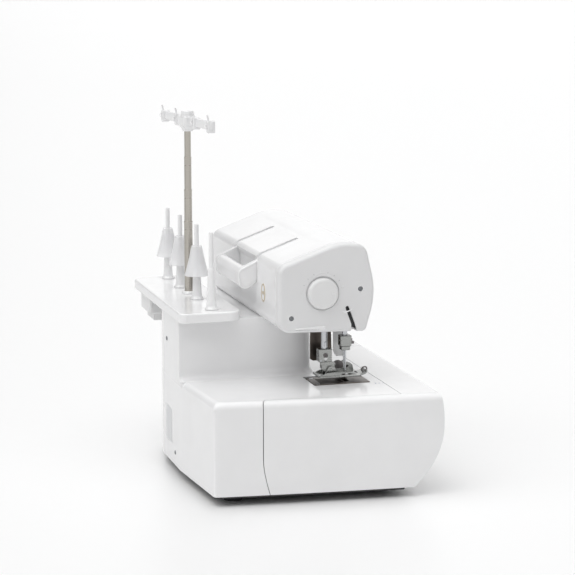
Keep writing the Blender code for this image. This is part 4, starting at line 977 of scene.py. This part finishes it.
def make_presser():
    x, y = PRESSER
    sole = SOLE
    pin_y, pin_z = y - 7, sole + 8.7

    def above(*points):
        return [(v, sole + rise) for v, rise in points]

    ankle_at = inset_by(((y - 8, 133.5, 1), (y + 8, 133.5, 2.5), (y + 8, 150, 1), (y - 8, 150, 1)), 6)
    ankle = layered("ankle_casting", "X", ankle_at, [(0.6, x - 6), (0, x - 5.4), (0, x + 5.4), (0.6, x + 6)])
    tongue = above((y - 12, 4.4), (y - 2, 4.4), (y + 4, 9), (y + 4, 18.2), (y - 8, 18.2), (y - 12, 13))
    join(ankle, prism("tongue", "X", tongue, x - 4, x + 4))
    cut(ankle, rod("socket", (x, y, 136.5), (x, y, 160), 4.15, 32))
    cut(ankle, rod("eye", (x - 9, pin_y, pin_z), (x + 9, pin_y, pin_z), 1.9, 24))
    cut(ankle, rod("screw_room", (x - 9, y, 142.5), (x - 5.2, y, 142.5), 3, 24))
    cut(ankle, prism("release", "X", [(y - 3, 132.6), (y + 3, 132.6), (y, 137.2)], x - 9, x - 5))
    finish(ankle, NICKEL, "presser", "presser_ankle", bevel=0.25)
    screw_head("ankle_screw", (x - 5, y, 142.5), "-X", 2.6, 1, DARK, "presser")
    notch = [(y - 2.6, 138.6), (y, 136.2), (y + 2.6, 138.6), (y, 140)]
    finish(prism("ankle_index", "X", notch, x - 6.3, x - 5.8), WHITE, "presser")
    screw_head("ankle_stop_screw", (x - 5.9, y + 5.6, 136), "-X", 1.2, 0.5, BRIGHT, "presser")

    shaft = [(0, 126, 0), (3.45, 126, 0.3), (3.85, 125.4, 0.2), (3.85, 0.5, 0.3), (3.4, 0, 0), (0, 0, 0)]
    bar = lathe("presser_bar_rod", (x, y, 137), "Z", eased(shaft, 4), 48)
    collar = eased([(0, 4.5, 0), (7, 4.5, 0.5), (7, 0, 0.5), (0, 0, 0)], 4)
    join(bar, lathe("collar", (x, y, 206), "Z", collar, 48))
    cut(bar, rod("bar_hole", (x - 9, y, 158.5), (x - 2.6, y, 158.5), 0.9, 20))
    finish(bar, BRIGHT, "presser", "presser_bar", bevel=0.15)

    sole_at = inset_by(rectangle((x - 15, -199), (x + 15, -146), 3, 1.5, 2, 6), 6)
    layers = above((0.5, 0), (0, 0.5), (0, 2), (0.5, 2.5))
    foot = layered("presser_foot_casting", "Z", sole_at, layers)
    toe = above((-206.4, 6), (-207.8, 5.6), (-207.6, 3), (-205.4, 1.2), (-201.5, 0.1), (-195, 0.1),
                (-195, 2.4), (-200.5, 2.5), (-204.6, 3.2), (-205.9, 4.6))
    join(foot, prism("toe", "X", toe, x - 9, x + 9))
    rib = above((-193, 2.2), (-190, 5.2), (-168, 6.4), (-156, 6), (-150, 4), (-147.5, 2.2))
    for low, high in ((x - 13.6, x - 11.8), (x + 9.4, x + 11)):
        join(foot, prism("rib", "X", rib, low, high))
    cheek = above((pin_y - 7, 2), (pin_y - 4.5, 11), (pin_y - 1, 12.6), (pin_y + 3, 12.2), (pin_y + 7.4, 4),
                  (pin_y + 8, 2))
    for middle in (x - 6, x + 6):
        join(foot, prism("cheek", "X", cheek, middle - 1.4, middle + 1.4))
    join(foot, rod("pin", (x - 8.2, pin_y, pin_z), (x + 8.2, pin_y, pin_z), 1.6, 24))
    cut(foot, block("needle_room", (64, -187, 110), (82, -174, 120.5)))
    cut(foot, block("tape_slot", (x - 5, -197.2, 110), (x + 5, -194.6, 125)))
    finish(foot, NICKEL, "foot", "presser_foot", bevel=0.2)
    loop = ((-6, -204.6, 4), (-6.2, -207.6, 6.6), (-6.2, -206.4, 9.2), (-6, -202.8, 8.8), (-5.8, -201.2, 5.6),
            (-5.8, -203.4, 3.2))
    finish(wire("toe_eye", [(x + across, v, sole + rise) for across, v, rise in loop], 0.85), DARK, "foot")
    dome = eased([(0, 5.2, 0), (4.6, 5.2, 2), (6.4, 2.6, 1), (6.4, 0, 0), (0, 0, 0)], 6)
    finish(lathe("foot_dome", (x + 9.5, -176.6, sole + 9.6), "X", dome, 48), DARK, "foot")
    guard = above((-196.6, 2.4), (-195.4, 9), (-192.6, 11.4), (-183.4, 15), (-181.6, 13.6), (-181.6, 2.4))
    plate = prism("knife_guard", "X", guard, x + 10.6, x + 14.8)
    cut(plate, rod("guard_window", (x + 5, -188.6, sole + 7.4), (x + 20, -188.6, sole + 7.4), 1.6, 24))
    finish(plate, NICKEL, "foot", bevel=0.5)
    coil = [
        (x + 7.8 + 0.32 * k, -163.5 + 2.2 * math.cos(k * 0.8), pin_z + 2.2 * math.sin(k * 0.8))
        for k in range(24)
    ]
    finish(wire("foot_spring", coil, 0.35, 8, 2), DARK, "foot")
    bridge = [(y - 13.5, sole + 14.4, 1), (y - 9.5, sole + 18.5, 1), (y + 6.5, sole + 18, 1.5),
              (y + 7, sole + 14.8, 1)]
    finish(prism("ankle_bridge", "X", rounded(bridge, 4), x - 7.4, x - 6.2), NICKEL, "presser", bevel=0.3)
    steps, low, high = 9 * 16, 212.6, 247.6
    coil = []
    for k in range(steps + 1):
        turn = math.pi * k / 8
        coil.append((x + 5.9 * math.cos(turn), y + 5.9 * math.sin(turn), low + (high - low) * k / steps))
    finish(wire("presser_spring_coil", coil, 0.65, 10, 1), BRIGHT, node="presser_spring")


def make_needles():
    x, y = NEEDLE_BAR
    shaft = [(0, 113.2, 0), (2.9, 113.2, 0.3), (3.2, 112.7, 0.2), (3.2, 0.4, 0.2), (2.9, 0, 0), (0, 0, 0)]
    bar = lathe("needle_bar_rod", (x, y, 155.8), "Z", eased(shaft, 4), 48)
    finish(bar, BRIGHT, "needle_bar", "needle_bar")
    clamp_at = inset_by(rectangle((x - 7, y - 7), (x + 7, y + 7), 2, 2, 4, 4), 6)
    layers = [(2.2, 148), (1.6, 148.6), (1.6, 152.5), (0.2, 153.4), (0, 153.8), (0, 165.4), (0.6, 166)]
    clamp = layered("needle_clamp_block", "Z", clamp_at, layers)
    cut(clamp, rod("bore", (x, y, 155.5), (x, y, 180), 3.5, 32))
    cut(clamp, block("clamp_slit", (x - 0.5, y - 9, 147), (x + 0.5, y - 4.4, 168)))
    finish(clamp, NICKEL, "needle_bar", "needle_clamp", bevel=0.25)
    blade = eased([(0, 28.7, 0), (1, 28.7, 0), (1, 17, 0.6), (0.62, 11.6, 0.6), (0.55, 4, 0.5),
                   (0.3, 1.2, 0.4), (0, 0, 0)], 4)
    for number, side in enumerate((-1, 1), 1):
        at, z = x + side * 3.4, 158 + side
        screw = rod(f"needle_screw_{number}", (at, y - 6.4, z), (at, y - 10.6, z), 1.7, 24, edge=0.3)
        cut(screw, block("slot", (at - 2, y - 12, z - 0.3), (at + 2, y - 10, z + 0.3)))
        finish(screw, DARK, "needle_bar")
        needle = lathe(f"needle_blade_{number}", (x + side * 2.75, y, 119), "Z", blade, 24)
        finish(needle, BRIGHT, "needle_bar", f"needle_{number}")


def make_head_underside():
    """What hangs under the head: a plate, the light window, the presser bar's bush and a thread hook."""
    x, y = PRESSER
    plate = [(-144, 180.6), (-144, 134), (-148, 131.5), (-165, 131.5), (-171.5, 135), (-170, 180.6)]
    finish(prism("presser_back_plate", "X", plate, x + 18, x + 19.4), BROWN, bevel=0.4)
    strip = [(-172.2, 180.6), (-173.5, 141), (-177, 135.5), (-187, 135.5), (-189.5, 140), (-189.5, 180.6)]
    finish(prism("light_window", "X", strip, x + 18.2, x + 19.2), WHITE, bevel=0.4)
    layers = [(0.6, 183), (0, 183.8), (0, 192.8)]
    bush = layered("bar_bush", "Z", lambda inset: circle((x, y), 6.6 - inset, 48), layers)
    cut(bush, rod("bush_bore", (x, y, 180), (x, y, 200), 4.2, 48))
    finish(bush, BRIGHT, bevel=0.1)
    path = [(72, -170, 190), (71, -171, 184), (69, -174, 180), (69, -178, 179), (70.5, -180.4, 181)]
    finish(wire("needle_thread_hook", path, 0.7), BRIGHT)


def make_bed_details():
    (x0, y0, z0), (x1, y1, z1) = frame_box("needle_plate")
    outline = inset_by(rectangle((x0, y0), (x1, y1), 1.5, 1.5, 3, 3))
    plate = layered("needle_plate_steel", "Z", outline, [(0, z0), (0, z1 - 0.3), (0.3, z1)])
    cut(plate, block("needle_slot", (65, -184, 100), (81, -178, 120)))
    for left, right in ((62.6, 66.4), (68.4, 73), (75, 79.6), (81.6, 85.4)):
        cut(plate, block("dog_slot", (left, -175.5, 100), (right, -146.5, 120)))
    screws = [Vector((x, y1 - 6, z1 - 1)) for x in (x0 + 5.5, x1 - 5.5)]
    for at in screws:
        cut(plate, rod("screw_well", at, at + Vector((0, 0, 4)), 3, 32))
    finish(plate, BROWN, node="needle_plate", bevel=0.12)
    for number, at in enumerate(screws, 1):
        profile = eased([(0, 1.1, 0), (2.6, 1.1, 0.5), (2.6, 0, 0), (0, 0, 0)])
        head = lathe(f"plate_screw_{number}", at, "Z", profile, 32)
        cut(head, block("slot", at + Vector((-3, -0.35, 0.5)), at + Vector((3, 0.35, 3))))
        finish(head, BRIGHT)
    dog = block("feed_dog_bar", (64, -173, 84), (84, -149, BED_HEIGHT - 5))
    tip = BED_HEIGHT - 0.9
    for left, right in ((64.1, 65.8), (69, 72.4), (75.6, 79), (82.2, 83.9)):
        for k in range(12):
            start = -172.6 + k * 1.95
            tooth = [(start, 104), (start + 1.9, 104), (start + 1.5, tip), (start + 1.1, tip)]
            join(dog, prism("tooth", "X", tooth, left, right))
    finish(dog, BRIGHT, "feed_dog", "feed_dog", bevel=0.08)
    for number in range(3):
        y = -210.5 - number * 4.4
        sides = rounded(rectangle((47, y - 1.2), (51 - number, y), 0.4), 3)
        finish(prism(f"seam_mark_{number + 1}", "Z", sides, BED_HEIGHT - 0.3, BED_HEIGHT + 0.06), BLUE)


def make_rear_details():
    """A blank rating plate and two screws on the rear."""
    plate_at = inset_by(rectangle((24, 166), (67, 196), 1.5), 6)
    layers = [(0, REAR_STEP - 0.4), (0, REAR_STEP + 0.2), (0.2, REAR_STEP + 0.3)]
    finish(layered("blank_plate", "Y", plate_at, layers), LABEL)
    for number, (x, z) in enumerate(((150, 16), (190, 150)), 1):
        screw_head(f"rear_screw_{number}", (x, REAR_STEP - 0.2, z), "Y", 2.6, 0.8, SCREW)


def make_world():
    """A pale studio, with dark flags that only the polished surfaces mirror."""
    world = bpy.data.worlds.new("studio")
    world.use_nodes = True
    tree = world.node_tree
    where = tree.nodes.new("ShaderNodeTexCoord")
    mirrored = None
    for direction, near, far, amount in (
        ((0.65, 0.75, 0.0), 0.45, 0.8, -0.8),
        ((-0.3, -1.0, 0.1), 0.55, 0.9, -0.55),
        ((0.0, 0.0, -1.0), 0.2, 0.7, -0.4),
    ):
        facing = tree.nodes.new("ShaderNodeVectorMath")
        facing.operation = "DOT_PRODUCT"
        facing.inputs[1].default_value = Vector(direction).normalized()
        tree.links.new(where.outputs["Generated"], facing.inputs[0])
        patch = node(tree, "MapRange", From_Min=near, From_Max=far, To_Min=0.0, To_Max=amount)
        patch.interpolation_type = "SMOOTHSTEP"
        tree.links.new(facing.outputs["Value"], patch.inputs["Value"])
        added = tree.nodes.new("ShaderNodeMath")
        added.inputs[0].default_value = WORLD_MIRRORED
        if mirrored:
            tree.links.new(mirrored, added.inputs[0])
        tree.links.new(patch.outputs["Result"], added.inputs[1])
        mirrored = added.outputs["Value"]
    path = tree.nodes.new("ShaderNodeLightPath")
    lit = node(tree, "Mix", A=WORLD_LIGHT)
    tree.links.new(path.outputs["Is Glossy Ray"], lit.inputs["Factor"])
    tree.links.new(mirrored, lit.inputs["B"])
    seen = node(tree, "Mix", B=1.0)
    tree.links.new(path.outputs["Is Camera Ray"], seen.inputs["Factor"])
    tree.links.new(lit.outputs["Result"], seen.inputs["A"])
    tree.links.new(seen.outputs["Result"], tree.nodes["Background"].inputs["Strength"])
    tree.nodes["Background"].inputs["Color"].default_value = (1.0, 1.0, 1.0, 1.0)
    bpy.context.scene.world = world


def make_floor_light_camera():
    half = FLOOR_HALF
    corners = [(-half, -half), (half, -half), (half, half), (-half, half)]
    floor = prism("floor", "Z", corners, FLOOR_TOP - 0.6, FLOOR_TOP)
    floor.data.transform(TO_ROW)
    floor.data.materials.append(
        material("pale_floor", (0.9, 0.9, 0.9), 0.35, mottle=0.0, bump=0.0, Coat_Weight=0.0)
    )

    make_world()
    for name, energy, spread_angle, travel in (
        ("rear_softbox", 1.35, 60, (0.15, -0.6, -1.0)),
        ("overhead_softbox", 1.1, 80, (0.0, 0.1, -1.0)),
        ("left_fill", 0.18, 70, (1.0, 0.2, -1.0)),
    ):
        sun = bpy.data.lights.new(name, "SUN")
        sun.energy = energy
        sun.angle = math.radians(spread_angle)
        lamp = bpy.data.objects.new(name, sun)
        lamp.rotation_euler = Vector(travel).to_track_quat("-Z", "Y").to_euler()
        bpy.context.scene.collection.objects.link(lamp)

    camera = bpy.data.cameras.new("camera")
    camera.lens = CAMERA_LENS
    camera.sensor_width = 36.0
    camera.clip_end = 100.0
    view = bpy.data.objects.new("camera", camera)
    view.location = CAMERA_AT
    view.rotation_euler = Vector(CAMERA_AIM).to_track_quat("-Z", "Y").to_euler()
    bpy.context.scene.collection.objects.link(view)
    bpy.context.scene.camera = view
    bpy.context.scene.view_settings.view_transform = "Standard"


def dress_cad_nodes():
    """Gives every carried-over node the procedural material of its slot."""
    for part in frame["record"]["subparts"]:
        name = part["node"]
        data = frame["nodes"][name].data
        data.materials.clear()
        data.materials.append(NODE_LOOKS.get(name, SLOT_LOOKS[part["material_slot"]][0]))


make_floor_light_camera()
dress_cad_nodes()
make_lower_casing()
make_covers()
make_upper_casing()
make_face_cover()
make_handle()
make_face_details()
make_tray()
make_spool_pins()
make_antenna()
make_guide_bar()
make_front_dials()
make_presser()
make_needles()
make_head_underside()
make_bed_details()
make_rear_details()
